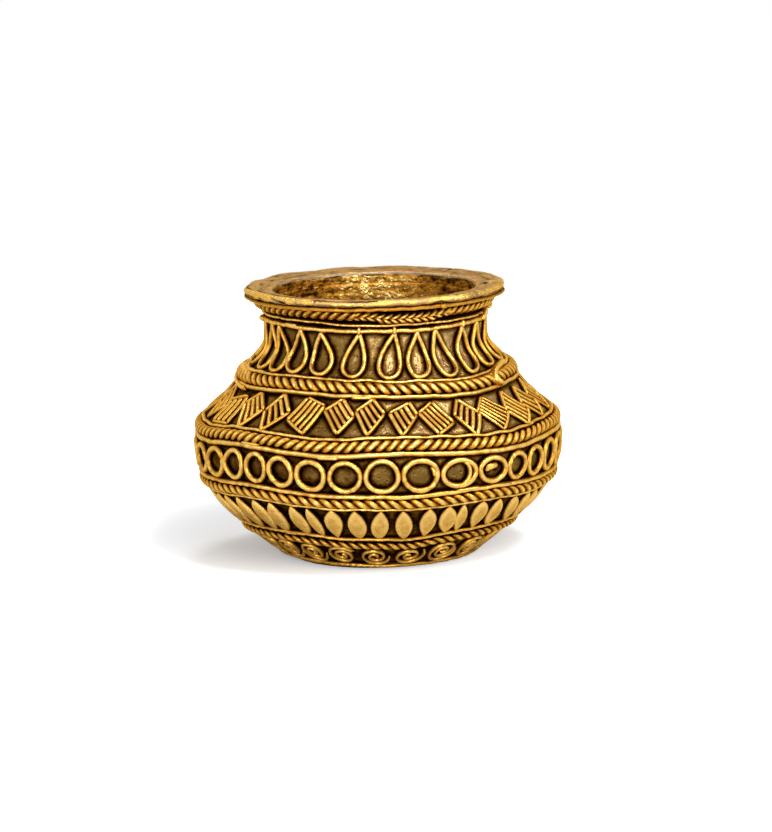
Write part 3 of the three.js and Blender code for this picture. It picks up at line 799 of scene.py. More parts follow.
def lozenge_shapes(corners, run, count, share_wide, rng):
    """Threads side by side along one side, and one across each end."""
    middle = sum(corners) / 4
    a, b, c, d = (middle + (corners[(k + run) % 4] - middle) * LOZENGE_SPREAD for k in range(4))
    width, rise = LOZENGE_THREAD["width"], LOZENGE_THREAD["rise"]
    radius, stretch = wall_radius(middle[1]), wall_stretch(middle[1])
    along, across = ((b - a) * (radius, stretch), (d - a) * (radius, stretch))
    room = abs(along[0] * across[1] - along[1] * across[0]) / np.hypot(*along)
    hatch = min(room / (count - 1) * share_wide, HATCH_WIDEST)
    shapes = []
    for k in range(count):
        share = k / (count - 1)
        first = a + (d - a) * share
        last = b + (c - b) * share
        over = rng.uniform(-0.01, 0.03, 2)
        size = rng.uniform(0.86, 0.99)
        ends = first + (first - last) * over[0], last + (last - first) * over[1]
        shapes.append(straight_thread(*ends, hatch, rise * min(1.0, share_wide + 0.2), size))
    for first, last in ((a, d), (b, c)):
        shapes.append(straight_thread(first, last, width, rise * 0.94, rng.uniform(0.88, 0.97)))
    return shapes


def unseen_corners(middle, rng):
    """Four corners of a lozenge that the photograph doesn't show."""
    top, bottom = band_at("lozenges", middle)
    centre = (top + bottom) / 2 + rng.uniform(*MIDDLE_SHIFT)
    half_turn = np.radians(rng.uniform(*LOZENGE_HALF))
    high = (top - bottom) / 2 * rng.uniform(*LOZENGE_HIGH)
    lean = np.radians(rng.uniform(*LOZENGE_LEAN))
    left = middle - half_turn, centre + rng.uniform(*CORNER_SHIFT)
    right_end = middle + half_turn, centre + rng.uniform(*CORNER_SHIFT)
    return left, (middle + lean, centre + high), right_end, (middle - lean, centre - high)


rng = np.random.default_rng(11)
shapes = []
lozenge_turns = whole_row(LOZENGE_TURNS, LOZENGE_COUNT)
crest_depth = LOZENGE_THREAD["rise"] + SEAT_GAP
for i, middle in enumerate(lozenge_turns):
    if i < len(SEEN_LOZENGES):
        seen_corners, run, count, share_wide = SEEN_LOZENGES[i]
        corners = [(np.radians(t), seat_under(z, crest_depth)) for t, z in seen_corners]
    else:
        corners = unseen_corners(middle, rng)
        run, count, share_wide = int(rng.integers(0, 2)), int(rng.integers(4, 7)), HATCH_SHARE
        if math.cos(middle) > -0.1:  # from the front these would close up into a gold patch
            count, share_wide = SIDE_COUNT, SIDE_SHARE
    shapes += lozenge_shapes([np.array(corner) for corner in corners], run, count, share_wide, rng)
make_piece("lozenge_threads", shapes, ["lozenge_row"])
print("lozenges:", len(lozenge_turns), "threads in them:", len(shapes))

# %% [markdown]
# ## Rings round the belly
# Each ring is a closed loop of thread, squeezed between its neighbours and the two wires. A few have a
# character of their own: one is pointed to the left, one is notched, one is a double coil, and one holds
# a blob of spilt wax.

# %% Rings
RING_THREAD = dict(width=1.8, rise=1.3)
INNER_THREAD = dict(width=1.3, rise=1.1)  # of the notch and of the coil
BLOB = dict(width=2.1, rise=0.75)
POINTED_RING, NOTCHED_RING, COILED_RING, BLOB_RING = 2, 8, 9, 10
LOOP_OVER = 0.25  # how far a loop's thread reaches out of its band
RING_COUNT = 33
RING_TURNS = [-74.5, -61.5, -50.5, -41, -32, -21.5, -10.5, 1, 12.5, 25.5, 38.5, 48.5, 57.5, 67.5]
ring_turns = whole_row(RING_TURNS, RING_COUNT)


def shares_of(turns):
    """Left and right end of each piece's share of a full row."""
    before = np.roll(turns, 1)
    before[0] -= FULL
    after = np.roll(turns, -1)
    after[-1] += FULL
    return (before + turns) / 2, (turns + after) / 2


def place_in(left, right_end, row):
    """Middle, half width and half height in millimetres along the wall, and the tilt of the band."""
    turn = (left + right_end) / 2
    top, bottom = band_at(row, turn)
    middle = (top + bottom) / 2
    tilt = (sum(band_at(row, right_end)) - sum(band_at(row, left))) / 4
    return turn, middle, (right_end - left) / 2 * wall_radius(middle), (top - bottom) / 2, tilt


def loop_path(place, angle, wide, tall, point=0.0):
    """A loop at a place; wide and tall are shares of its room, and point pulls out its left."""
    turn, middle, half_wide, half_tall, tilt = place
    pull = 1 + point * np.clip(-np.cos(angle), 0, 1) ** 6
    x = np.cos(angle) * half_wide * wide * pull
    y = np.sin(angle) * half_tall * tall
    return turn + x / wall_radius(middle), middle + y + x / half_wide * tilt


def room_in(place, thread, pressed):
    """Shares of its room that a loop takes, when its thread is pressed that far on its neighbours."""
    half = thread["width"] / 2
    return 1 - (half - pressed) / place[2], 1 - (half - LOOP_OVER) / place[3]


def inner_thread(turn, seat, thread, taper):
    """A short open thread inside a ring."""
    return laid_thread(turn, seat, **thread, closed=False, sides=10, taper=taper)


# %% [markdown]
# With these helpers the row is laid ring by ring, and the special ones get their own path or an extra
# thread inside.

# %% Row of rings
rng = np.random.default_rng(23)
shapes = []
angle = -full_circle(44)
for i, (left, right_end) in enumerate(zip(*shares_of(ring_turns))):
    place = place_in(left, right_end, "rings")
    wide, tall = room_in(place, RING_THREAD, 0.12)
    width = RING_THREAD["width"] * rng.uniform(0.92, 1.05)
    size = 0.98 - np.abs(waver(angle, 0.06, 500 + i, 2, 9))
    pull = 1 + waver(angle, 0.02, 600 + i, 2, 5)
    if i == POINTED_RING:
        turn, seat = loop_path(place, angle, wide * 0.92, tall, 0.22)
    elif i == COILED_RING:
        turn, seat = loop_path(place, angle, wide * 0.99, tall * 0.97)
    else:
        turn, seat = loop_path(place, angle, wide * pull, tall * np.minimum(pull, 1.0))
    shapes.append(laid_thread(turn, seat, width, RING_THREAD["rise"], True, size=size))
    if i == NOTCHED_RING:
        notch = np.radians([-2.0, 2.0, 8.0, 20.0, 40.0])
        turn, seat = loop_path(place, notch, wide * 0.88, tall * 0.88)
        shapes.append(inner_thread(turn - 0.006, seat, INNER_THREAD, 1.4))
    if i == COILED_RING:
        turn, seat = loop_path(place, np.linspace(-1.35, 1.35, 16), wide * 0.5, tall * 0.86)
        shapes.append(inner_thread(turn + 0.012, seat, INNER_THREAD, 2))
    if i == BLOB_RING:
        turn, seat = loop_path(place, np.radians([205, 180, 150, 60, 30]), wide * 0.45, tall * 0.35)
        shapes.append(inner_thread(turn, seat, BLOB, 2))
make_piece("ring_threads", shapes, ["ring_row"])
print("rings:", len(ring_turns))

# %% [markdown]
# ## Leaf pads under the rings
# These are little pads of wax pressed flat and pointed at both ends, leaning a little where they stand
# on the turning wall. Each is a few outlines of the same lens shape, each higher and smaller than the
# last, so the pad has a rolled edge and a low, matte crown.

# %% Leaf pads
LEAF_RISE = 0.9
LEAF_WIDE, SLIM_SHARE = 5.4, 0.7
LEAF_OVER = 0.25  # how far a leaf reaches out of its band at each end
LEAF_COUNT = 47
SEEN_LEAVES = [
    # turn of the upper point, turn of the lower point
    (-54.1, -51.2), (-45.5, -43.1), (-38.4, -37.6), (-30.2, -28.3), (-24.5, -22.1),
    (-16.0, -16.6), (-8.3, -7.9), (0.4, -0.5), (7.7, 9.3), (16.8, 17.3),
    (23.5, 25.5), (28.9, 30.3), (36.5, 37.6), (43.9, 45.2), (51.9, 56.2),
]
SLIM_LEAVES = [4, 11]
LEAF_STEPS = [
    # share of the outline, height as a share of the rise, how worn, with painted shade at the pad's foot
    (1.0, -0.18, 0.0), (1.0, 0.30, 0.10), (0.98, 0.62, 0.40), (0.93, 0.88, 0.80), (0.84, 1.0, 1.0),
    (0.66, 1.06, 0.90), (0.42, 1.13, 0.80), (0.15, 1.16, 0.78),
]


def leaf_shape(top_turn, bottom_turn, high, low, wide, belly_at, points=22):
    """A lens of stacked outlines; belly_at is how far up it is widest."""
    up_share = (1 + np.cos(full_circle(points, 0.5))) / 2
    bent = up_share ** (math.log(0.5) / math.log(belly_at))
    side = np.sign(np.sin(full_circle(points, 0.5)))
    across = side * (4 * bent * (1 - bent)) ** 0.85
    middle_turn, middle_seat = (top_turn + bottom_turn) / 2, (high + low) / 2
    x = (top_turn - bottom_turn) * (up_share - 0.5) + across * wide / 2 / wall_radius(middle_seat)
    y = (high - low) * (up_share - 0.5)
    rows = [
        off_wall(middle_turn + x * share, middle_seat + y * share, (LEAF_RISE + SEAT_GAP) * high_share)
        for share, high_share, _ in LEAF_STEPS
    ]
    return sheet(np.stack(rows), np.array(LEAF_STEPS)[:, 2:], False)


rng = np.random.default_rng(31)
shapes = []
leaf_tops, leaf_bottoms = (whole_row(column, LEAF_COUNT) for column in zip(*SEEN_LEAVES))
for i in range(LEAF_COUNT):
    high, low = band_at("leaves", (leaf_tops[i] + leaf_bottoms[i]) / 2)
    lean = 0.0 if i < len(SEEN_LEAVES) else rng.uniform(-0.02, 0.02)
    wide = LEAF_WIDE * rng.uniform(0.94, 1.10)
    if i in SLIM_LEAVES:
        wide = LEAF_WIDE * SLIM_SHARE
    belly_at = rng.uniform(0.42, 0.56)
    turns = leaf_tops[i] + lean, leaf_bottoms[i]
    shapes.append(leaf_shape(*turns, high + LEAF_OVER, low - LEAF_OVER, wide, belly_at))
make_piece("leaf_pads", shapes, ["leaf_row"], ["pad_brass"])
print("leaf pads:", LEAF_COUNT)

# %% [markdown]
# ## Spirals above the foot
# A thread is rolled up from one end and pressed on. The path is a loop whose size shrinks evenly with
# the angle, so that the coils lie against each other with a dark line between.

# %% Spirals
SCROLL_THREAD = dict(width=1.1, rise=1.1)
SCROLL_SLIM = 0.93     # the thread rolled tight against the one laid in its room
SCROLL_INMOST = 0.14   # how small the coil has become at its inner end
SCROLL_COILS = (1.9, 2.4)
MOSTLY = 0.6           # share of spirals that wind the commoner way
SCROLL_COUNT = 23
SCROLL_TURNS = [-62, -47.5, -34.5, -19, -3, 13.5, 32, 50, 66.5]
rng = np.random.default_rng(43)
shapes = []
scroll_turns = whole_row(SCROLL_TURNS, SCROLL_COUNT)
along = np.linspace(0, 1, 90)
shrink = 1 - (1 - SCROLL_INMOST) * along
for left, right_end in zip(*shares_of(scroll_turns)):
    place = place_in(left, right_end, "spirals")
    coils = rng.uniform(*SCROLL_COILS)
    hand = -1 if rng.uniform() < MOSTLY else 1
    angle = hand * FULL * coils * along + rng.uniform(-0.6, 0.6)
    wide, tall = room_in(place, SCROLL_THREAD, 0.1)
    turn, seat = loop_path(place, angle, wide * shrink, tall * shrink)
    width = SCROLL_THREAD["width"] * SCROLL_SLIM
    shapes.append(laid_thread(turn, seat, width, SCROLL_THREAD["rise"], False, 10, taper=3))
make_piece("scroll_threads", shapes, ["scroll_row"])
print("spirals:", SCROLL_COUNT)

# %% [markdown]
# ## Joints, knobs and loose ends
# A wax thread is only as long as the maker rolls it, so each course has a place where one thread ends
# beside the next. Where a drop's tip was pressed over the neck wire it left a knob. On the left of the
# shoulder the rope starts under a smooth tongue of wax, and on the right the wire above it hooks down
# over it. These small accidents are what make the pot look laid by hand, so each is placed on its own.

# %% Joints, knobs and loose ends
JOINTS = [
    # course, first turn, last turn, shift along the wall, width
    ("shoulder_lower_wire", -10.0, -2.0, -0.55, 1.1), ("belly_lower_wire", -48.0, -40.0, 0.65, 1.2),
    ("belly_lower_wire", -19.0, -12.2, -0.5, 1.3), ("leaf_wire", -40.0, -34.2, -0.45, 0.9),
    ("neck_wire", -52.0, -44.0, 0.5, 1.0), ("flank_upper_wire", 25.0, 33.0, 0.5, 1.0),
    ("under_lip_wire", 44.0, 52.0, -0.2, 0.9), ("belly_upper_wire", 120.0, 127.0, 0.4, 0.9),
    ("shoulder_upper_wire", 171.0, 178.0, -0.4, 0.9), ("foot_wire", 200.0, 209.0, 0.4, 0.9),
]
DABS = [
    # points as (turn, height of the crest), width, rise
    ([(-8.0, 72.6), (-8.0, 71.6), (-8.3, 70.6)], 1.2, 1.7),
    ([(9.6, 72.3), (9.6, 71.4), (9.5, 70.6)], 1.3, 1.6),
    ([(50.4, 72.2), (50.4, 71.3), (50.2, 70.4)], 1.1, 1.5),
    ([(76.0, 74.2), (73.5, 72.6), (69.5, 70.8)], 1.7, 2.0),
    ([(93.0, 74.6), (88.0, 74.0), (84.0, 73.4)], 1.7, 2.2),
    ([(-88.0, 71.9), (-84.0, 72.1), (-80.0, 71.9)], 1.9, 2.1),
    ([(30.2, 77.8), (31.0, 77.8), (31.8, 77.8)], 1.6, 1.5),
]
TONGUE = [(-97.0, 57.3), (-88.0, 57.4), (-80.0, 57.2), (-72.0, 56.9), (-65.5, 56.4)]
CURL = [(-58.0, 58.9), (-66.0, 58.3), (-73.0, 58.0), (-79.0, 58.5), (-84.0, 59.9), (-86.0, 61.4)]
HOOK = [
    (74.0, 59.6), (68.0, 59.2), (61.5, 58.6), (57.5, 57.6), (56.0, 56.2), (57.0, 55.0), (58.6, 54.6),
]
ROLL = [(-96.0, 55.2), (-88.0, 54.9), (-80.0, 54.4), (-72.0, 53.9), (-66.0, 53.6)]
JOINT_LOW = 0.92  # a joint lies a little lower than its wire
ENDS = [(CURL, 1.2, 1.3), (HOOK, 2.1, 2.9, 0.97), (ROLL, 1.5, 1.7)]  # width, rise and size


def free_thread(corners, width, rise, size=1.0, steps=40):
    """A thread along a rounded line through (turn, crest height) corners."""
    knots = np.array(corners, float)
    along = np.linspace(0, len(knots) - 1, steps)
    line = np.stack([np.interp(along, np.arange(len(knots)), column) for column in knots.T])
    for _ in range(steps // 5):
        line[:, 1:-1] = (line[:, :-2] + 2 * line[:, 1:-1] + line[:, 2:]) / 4
    seat = seat_under(line[1], rise + SEAT_GAP)
    return laid_thread(np.radians(line[0]), seat, width, rise, False, taper=5, size=size)


shapes = []
for course, first, last, shift, width in JOINTS:
    turn = np.radians(np.linspace(first, last, 24))
    seat = course_seat(course, turn)
    seat = seat + shift / wall_stretch(seat)
    shapes.append(laid_thread(turn, seat, width, COURSES[course]["rise"] * JOINT_LOW, False))
shapes += [free_thread(*dab, steps=14) for dab in DABS]
shapes += [free_thread(*loose) for loose in ENDS]
make_piece("loose_ends", shapes)
make_piece("shoulder_tongue", [free_thread(TONGUE, 3.3, 1.7)], used=["pad_brass"])
print("joints, dabs and ends:", len(shapes))

# %% [markdown]
# ## The cast wall
# The wall is one closed skin: up the outside, over the seam under the lip and down the inside to the
# floor. The outside is lightly lumpy. The inside is rougher, since it lay against a hand-smoothed core:
# low ridges run round the throat. Each point of the outside also stores how open it lies, from 0 right
# beside a thread to 1 in the middle of a free field, by asking a tree of all laid threads how near the
# closest one is. Near a thread the wall is painted dark: partly patina, partly painted shade.

# %% Wall
COLUMNS = 660
OUTSIDE_STEP = 0.5
INSIDE_STEP = 0.9
LUMPS_DOWN = 0.12  # the lumpy skin lies that far inside the plain outline
columns_turn = full_circle(COLUMNS)


def run_along(across, up):
    """Length along a line of points, from its first one."""
    return np.concatenate([[0], np.cumsum(np.hypot(np.diff(across), np.diff(up)))])


fine_z = np.linspace(FLOOR_TOP, LIP_SEAM, 600)
run = run_along(fine_z, wall_radius(fine_z))
outside_z = np.append(np.interp(np.arange(0, run[-1], OUTSIDE_STEP), run, fine_z), LIP_SEAM)
inside_z = np.linspace(LIP_SEAM, FLOOR_TOP, int(run[-1] / INSIDE_STEP))
print("rows outside and inside:", len(outside_z), len(inside_z))

# %% Skins of the wall


def throat_ridges(turn, z):
    """How far the rough inside is hollowed out, in low ridges that run round it."""
    depth = 0.34 * patches(turn, z, 24, 1.7, 3) + 0.24 * patches(turn, z, 90, 1.0, 4)
    return np.abs(depth + 0.14 * patches(turn, z, 230, 0.7, 5)) - 0.08


turn_grid, seat_grid = np.meshgrid(columns_turn, outside_z)
lumps = 0.10 * patches(turn_grid, seat_grid, 110, 3.0, 1)
lumps += 0.05 * patches(turn_grid, seat_grid, 260, 1.3, 2)
outside = off_wall(turn_grid, seat_grid, lumps - LUMPS_DOWN)

turn_grid, height_grid = np.meshgrid(columns_turn, inside_z)
ridges = throat_ridges(turn_grid, height_grid)
inside = turned(turn_grid, bore_radius(height_grid) + ridges, height_grid)
print("deepest ridge of the inside in mm:", round(float(ridges.max()), 2))

# %% [markdown]
# The wall's colour stays lightest on the shoulder and the neck, about two thirds as light inside the
# rings and less than half between the leaves, where patina that a cloth doesn't reach and painted shade
# come together. Under the lip it is painted shade and nearly black. The wall is darker at the left of
# the front than at the right. Inside the throat a painted pool of light brightens the far side, and
# the rest stays brown, with painted shade in the hollows of its ridges.

# %% Wear of the wall
# Over these distances the patina and painted shade beside a thread give way to the wall's clean colour
OPEN_FROM, OPEN_TO = 0.35, 1.75  # distances from a thread at which the wall starts and ends clearing
# How light the wall stays at each height: patina with painted shade in the rings and between the leaves,
# painted shade under the lip
RUB_AND_SHADE_HEIGHTS = [20, 26, 28, 37, 39, 71, 73]
RUB_AND_SHADE_SHARES = [0.44, 0.40, 0.64, 0.64, 1.0, 1.0, 0.05]
# How light it stays round the pot: darker at the left of the front than at the right
TONE_TURNS = [-180, -70, -20, 5, 30, 60, 180]
TONE_ROUND = [0.85, 0.50, 0.60, 0.95, 1.18, 1.00, 0.85]
# A painted pool of light on the far side of the throat, where the light falls into it
THROAT_LIT_TURN, THROAT_LIT_SPREAD = 178, 24  # degrees


def signed_degrees(turn, middle=0.0):
    """Degrees from a middle, at most half a turn to each side."""
    return (np.degrees(turn) - middle + 180) % 360 - 180


# The throat's colour: a painted pool of light on its far side, and painted shade in its hollows
def throat_light_and_shade(turn, hollow):
    off = (np.degrees(turn) % 360 - THROAT_LIT_TURN) / THROAT_LIT_SPREAD
    return np.clip(0.50 + 0.42 * np.exp(-(off**2)) - 1.1 * hollow, 0, 1)


thread_points = np.concatenate(laid_points)
nearest = kdtree.KDTree(len(thread_points))
for number, point in enumerate(thread_points):
    nearest.insert(point, number)
nearest.balance()
distance = np.array([nearest.find(point)[2] for point in outside.reshape(-1, 3)])
distance = distance.reshape(outside.shape[:2])
# Near a thread the wall is painted dark: patina and painted shade
wall_rub_and_shade = np.clip((distance - OPEN_FROM) / (OPEN_TO - OPEN_FROM), 0, 1)
wall_rub_and_shade = wall_rub_and_shade * np.interp(seat_grid, RUB_AND_SHADE_HEIGHTS, RUB_AND_SHADE_SHARES)
wall_rub_and_shade = wall_rub_and_shade * np.interp(signed_degrees(columns_turn), TONE_TURNS, TONE_ROUND)
print("greatest distance from a thread in mm:", round(distance.max(), 2))

# %% Wall as one piece


def change_finish(piece, changes):
    """From each given row of faces on, the piece shows another of its finishes."""
    numbers = np.zeros(len(piece.data.polygons), dtype=np.int32)
    for row, number in changes:
        numbers[row * COLUMNS:] = number
    piece.data.polygons.foreach_set("material_index", numbers)


wall_points = np.concatenate([outside, inside])
wall_wear_and_light = np.concatenate([wall_rub_and_shade, throat_light_and_shade(turn_grid, ridges)])
wall = make_piece(
    "cast_wall", [sheet(wall_points, wall_wear_and_light, True)], ["bowl_wall", "shoulder_wall", "neck_wall"],
    ["wall_brass", "throat_brass"], laid=False,
)
change_finish(wall, [(len(outside_z) - 1, 1)])
print("wall points:", len(wall_points) * COLUMNS)

# %% [markdown]
# ## The lip
# The lip is the pot's most handled part. Its flat top has a dull greyish skin, and its edges are rubbed
# to bright gold. The pale band at its inner edge is wear and a painted highlight. It is turned like the
# wall from a closed section, then given a slow waver. Cracks, slits, a pit and the bright spot beside it
# are too sharp for the waver, so each of them is pressed or rubbed in by itself. The cracks, slits and
# pit are painted dark: painted shade in them.

# %% Section of the lip
LIP_SECTION = [
    # radius, height, crest: up the outside, over the top and down the throat
    (wall_radius(LIP_SEAM) - 0.1, LIP_SEAM, 0.05), (wall_radius(78.2), 78.2, 0.05),
    (36.6, 78.75, 0.08), (37.6, 79.05, 0.12), (38.2, 79.3, 0.30), (38.6, 79.6, 0.62),
    (38.88, 79.95, 0.85), (38.98, 80.3, 0.95), (38.9, 80.65, 1.0), (38.7, 80.95, 1.0),
    (38.4, 81.2, 0.95), (38.0, 81.36, 0.75), (37.3, 81.35, 0.50), (36.2, 81.24, 0.40),
    (35.0, 81.12, 0.36), (33.8, 81.0, 0.34), (32.6, 80.85, 0.36), (31.6, 80.68, 0.42),
    (31.0, 80.54, 0.60), (30.6, 80.38, 0.85), (30.35, 80.15, 0.80), (30.2, 79.8, 0.5),
    (30.2, 79.3, 0.45), (30.2, 78.8, 0.4), (30.2, 78.3, 0.4), (30.2, 77.8, 0.4),
    (30.25, LIP_SEAM, 0.35),
]
SECTION_STEP = 0.35
THROAT_FROM = 79.8  # height at which the inside turns rough
# The pale band at the inner edge is wear and a painted highlight
RIM_FROM, RIM_TO = 30.90, 30.30  # radii of the pale band at the inner edge

coarse = np.array(LIP_SECTION)
run = run_along(coarse[:, 0], coarse[:, 1])
fine = np.append(np.arange(0, run[-1], SECTION_STEP), run[-1])
section_r, section_z, section_crest = (np.interp(fine, run, column) for column in coarse.T)
throat_row = int(np.argmax((section_r < RIM_TO) & (section_z < THROAT_FROM)))
rim_row = int(np.argmax((section_r < RIM_FROM) & (section_z > THROAT_FROM)))
in_throat = np.arange(len(fine))[:, None] >= throat_row
print("rows of the lip:", len(fine), "inner rim from", rim_row, "throat from", throat_row)

# %% Waver of the lip
lip_turn, lip_r = np.meshgrid(columns_turn, section_r)
lip_z = np.broadcast_to(section_z[:, None], lip_turn.shape)
free = np.clip((lip_z - LIP_SEAM - 0.2) / 2, 0, 1)  # the seam stays in its place
sink = 0.10 + waver(columns_turn, 0.12, 51, 2, 14)
rough = 0.14 * patches(lip_turn, lip_r, 90, 1.6, 6) + 0.10 * patches(lip_turn, lip_r, 330, 0.8, 9)
hollow = throat_ridges(lip_turn, lip_z)
lip_z = lip_z - free * (np.clip(sink, 0.0, 0.5)[None] + np.abs(rough)) * ~in_throat
lip_r = lip_r + free * (waver(columns_turn, 0.20, 52, 2, 20)[None] - 0.2 * (lip_r > 35)) * ~in_throat
lip_r = lip_r + in_throat * np.clip(hollow, 0, 1) * np.clip((80.2 - lip_z) * 2, 0, 1)
# long streaks that run round the lip, left by a file and darkened since
streaks = patches(lip_turn, lip_r + lip_z, 34, 0.55, 12) + patches(lip_turn, lip_r, 90, 0.35, 13)
crest = section_crest[:, None] + 0.16 * streaks
print("lip radii in mm:", round(float(lip_r.min()), 2), round(float(lip_r.max()), 2))

# %% Cracks and spots on the lip
CRACK_TURNS = [51.0, -27.0, 140.0]
CRACK_HALF, CRACK_DEPTH = 0.28, 0.35
PIT, PIT_SIZE, PIT_DEPTH = (85.4, 33.2), 0.65, 0.7  # turn and radius
SHINE, SHINE_SIZE = (87.5, 34.6), 1.1
SPOT_LONG = 2.4  # the spots are that much longer round the lip than across it
GOLD_TURN, GOLD_SPREAD = -58, 22  # degrees
GOLD_FROM = 34.8                   # radius


def turn_gap(turn):
    """How far each column lies from a turn in degrees, in radians."""
    return np.abs((lip_turn - np.radians(turn) + math.pi) % FULL - math.pi)


def near_spot(turn, radius, size):
    gap = turn_gap(turn) * radius / SPOT_LONG
    return np.exp(-(np.hypot(gap, lip_r - radius) / size) ** 2) * on_top


for crack in CRACK_TURNS:
    groove = np.exp(-(turn_gap(crack) * lip_r / CRACK_HALF) ** 2) * free * (lip_r > 33)
    lip_z = lip_z - CRACK_DEPTH * groove
    # The cracks are painted dark: painted shade in them
    crest = crest - 0.8 * groove
on_top = np.clip((section_z - 80.5) * 3, 0, 1)[:, None]
hole = near_spot(*PIT, PIT_SIZE)
lip_z = lip_z - PIT_DEPTH * hole
# The pit is painted dark with painted shade, and the spot beside it is made lighter
crest = crest - 1.4 * hole + 0.9 * near_spot(*SHINE, SHINE_SIZE)
# on the front left the gold reaches further in over the top
gold_reach = np.exp(-((signed_degrees(lip_turn) - GOLD_TURN) / GOLD_SPREAD) ** 2)
crest = crest + 0.35 * gold_reach * np.clip((lip_r - GOLD_FROM) / 0.8, 0, 1) * on_top
# Its least is the painted shade in the cracks and the pit
print("greatest wear and soot on the lip:", round(float(crest.max()), 2), round(float(crest.min()), 2))

# %% Slits and file lines on the lip
LIP_DEGREE = 0.66  # millimetres to a degree of turn on the lip
SLIT_SHADE = 1.2
PRESSED_TO = (34.5, 79.9)  # radius and height in the lip's body that every slit points at
LIP_MARKS = [
    # line of (turn, radius, height) points, half width, depth
    ([(-92.0, 38.3, 81.2), (-84.0, 37.9, 81.3), (-75.0, 37.1, 81.3)], 0.32, 0.45),
    ([(-75.0, 35.8, 81.2), (-68.0, 35.2, 81.2), (-62.0, 35.1, 81.2)], 0.45, 0.2),
    ([(-59.0, 35.0, 81.1), (-52.0, 34.7, 81.1), (-46.0, 34.3, 81.1), (-38.0, 34.9, 81.1)], 0.70, 0.3),
    ([(-29.0, 38.3, 81.25), (-20.0, 38.5, 81.15), (-10.0, 38.4, 81.2), (1.0, 38.2, 81.3)], 0.36, 0.3),
    ([(18.0, 37.2, 81.3), (30.0, 37.6, 81.3), (44.0, 37.2, 81.3)], 0.22, 0.15),
    ([(-88.0, 38.9, 79.9), (-80.0, 38.8, 79.8)], 0.35, 0.3),
    ([(-76.0, 38.9, 80.0), (-68.0, 38.9, 79.9)], 0.35, 0.3),
    ([(-52.0, 38.8, 80.9), (-47.0, 38.9, 80.4), (-43.0, 38.8, 79.8)], 0.34, 0.35),
    ([(-62.0, 38.9, 80.1), (-60.0, 38.9, 80.0)], 0.3, 0.3),
    ([(60.0, 38.9, 79.9), (74.0, 38.9, 80.0), (86.0, 38.9, 80.1)], 0.28, 0.25),
]

outward = np.stack([section_r - PRESSED_TO[0], section_z - PRESSED_TO[1]])
outward /= np.linalg.norm(outward, axis=0)
for line, half_wide, deep in LIP_MARKS:
    knots = [(t, fine[np.argmin(np.hypot(section_r - r, section_z - z))]) for t, r, z in line]
    turns, places = np.array(knots).T
    x = (signed_degrees(columns_turn, turns[0]) + turns[0])[None]
    past = np.clip(np.maximum(turns[0] - x, x - turns[-1]), 0, None) * LIP_DEGREE
    off = fine[:, None] - np.interp(x, turns, places)
    mark = np.exp(-(off**2 + past**2) / half_wide**2)
    lip_r = lip_r - deep * mark * outward[0][:, None]
    lip_z = lip_z - deep * mark * outward[1][:, None]
    # The slits and file lines are painted dark: painted shade in the grooves
    crest = crest - SLIT_SHADE * mark
print("slits and file lines:", len(LIP_MARKS))

# %% Lip as one piece
# The lip's part of the throat takes the same painted light and shade
crest = np.where(in_throat, throat_light_and_shade(lip_turn, hollow), crest)
lip = make_piece(
    "lip_flange", [sheet(turned(lip_turn, lip_r, lip_z), crest, True)], ["lip_ring"],
    ["lip_brass", "throat_brass", "rim_wear_and_highlight"], laid=False,
)
change_finish(lip, [(rim_row, 2), (throat_row - 1, 1)])
print("lip height in mm:", round(float(lip_z.max()), 2))

# %% [markdown]
# ## The base
# The pot stands on a low round base whose underside is slightly hollow, so only its outer ring touches
# the table. It is never polished and stays a dark, reddish brown.

# %% Base
BASE_SECTION = [
    # radius, height: out along the hollow underside, up the edge and in along the floor
    (2.0, 0.45), (8.0, 0.43), (15.0, 0.36), (20.0, 0.24), (23.6, 0.06), (24.8, 0.0), (25.9, 0.0),
    (26.5, 0.12), (27.3, 0.7), (28.3, 1.45), (28.9, 1.95), (29.1, 2.19), (28.4, 2.3), (22.0, 2.35),
    (14.0, 2.35), (7.0, 2.35), (2.0, 2.35),
]
EDGE_FROM = 26  # radius from which the base is rubbed a little by the table

section_r, section_z = np.array(BASE_SECTION).T
base_turn, base_r = np.meshgrid(columns_turn, section_r)
base_z = np.broadcast_to(section_z[:, None], base_turn.shape)
lift = 0.10 * np.abs(patches(base_turn, base_r, 60, 2.0, 8)) * (base_z < 1.0) * (base_z > 0.05)
base_worn = 0.25 + 0.25 * (base_r > EDGE_FROM) + lift
base = sheet(turned(base_turn, base_r, base_z + lift), base_worn, False)
make_piece("base_underside", [base], ["base_disc"], ["base_brass"])
print("widest radius of the base in mm:", float(section_r.max()))

# %% [markdown]
# ## Floor, light and background
# A studio sweep is white to the camera but still takes a soft shadow. The floor gives a little light of
# its own to camera rays, more of it away from the shadow's middle, so it clips to white where it is lit
# and stays grey where the pot shades it.
# The world is white to the camera and to reflections, and dimmer as a light. The key lamp high at the
# front right makes the shadow that runs back to the left. One low in front lights the underside of the
# belly, one at the right and a weak one at the left fill the sides, and one above and behind reaches
# into the throat.

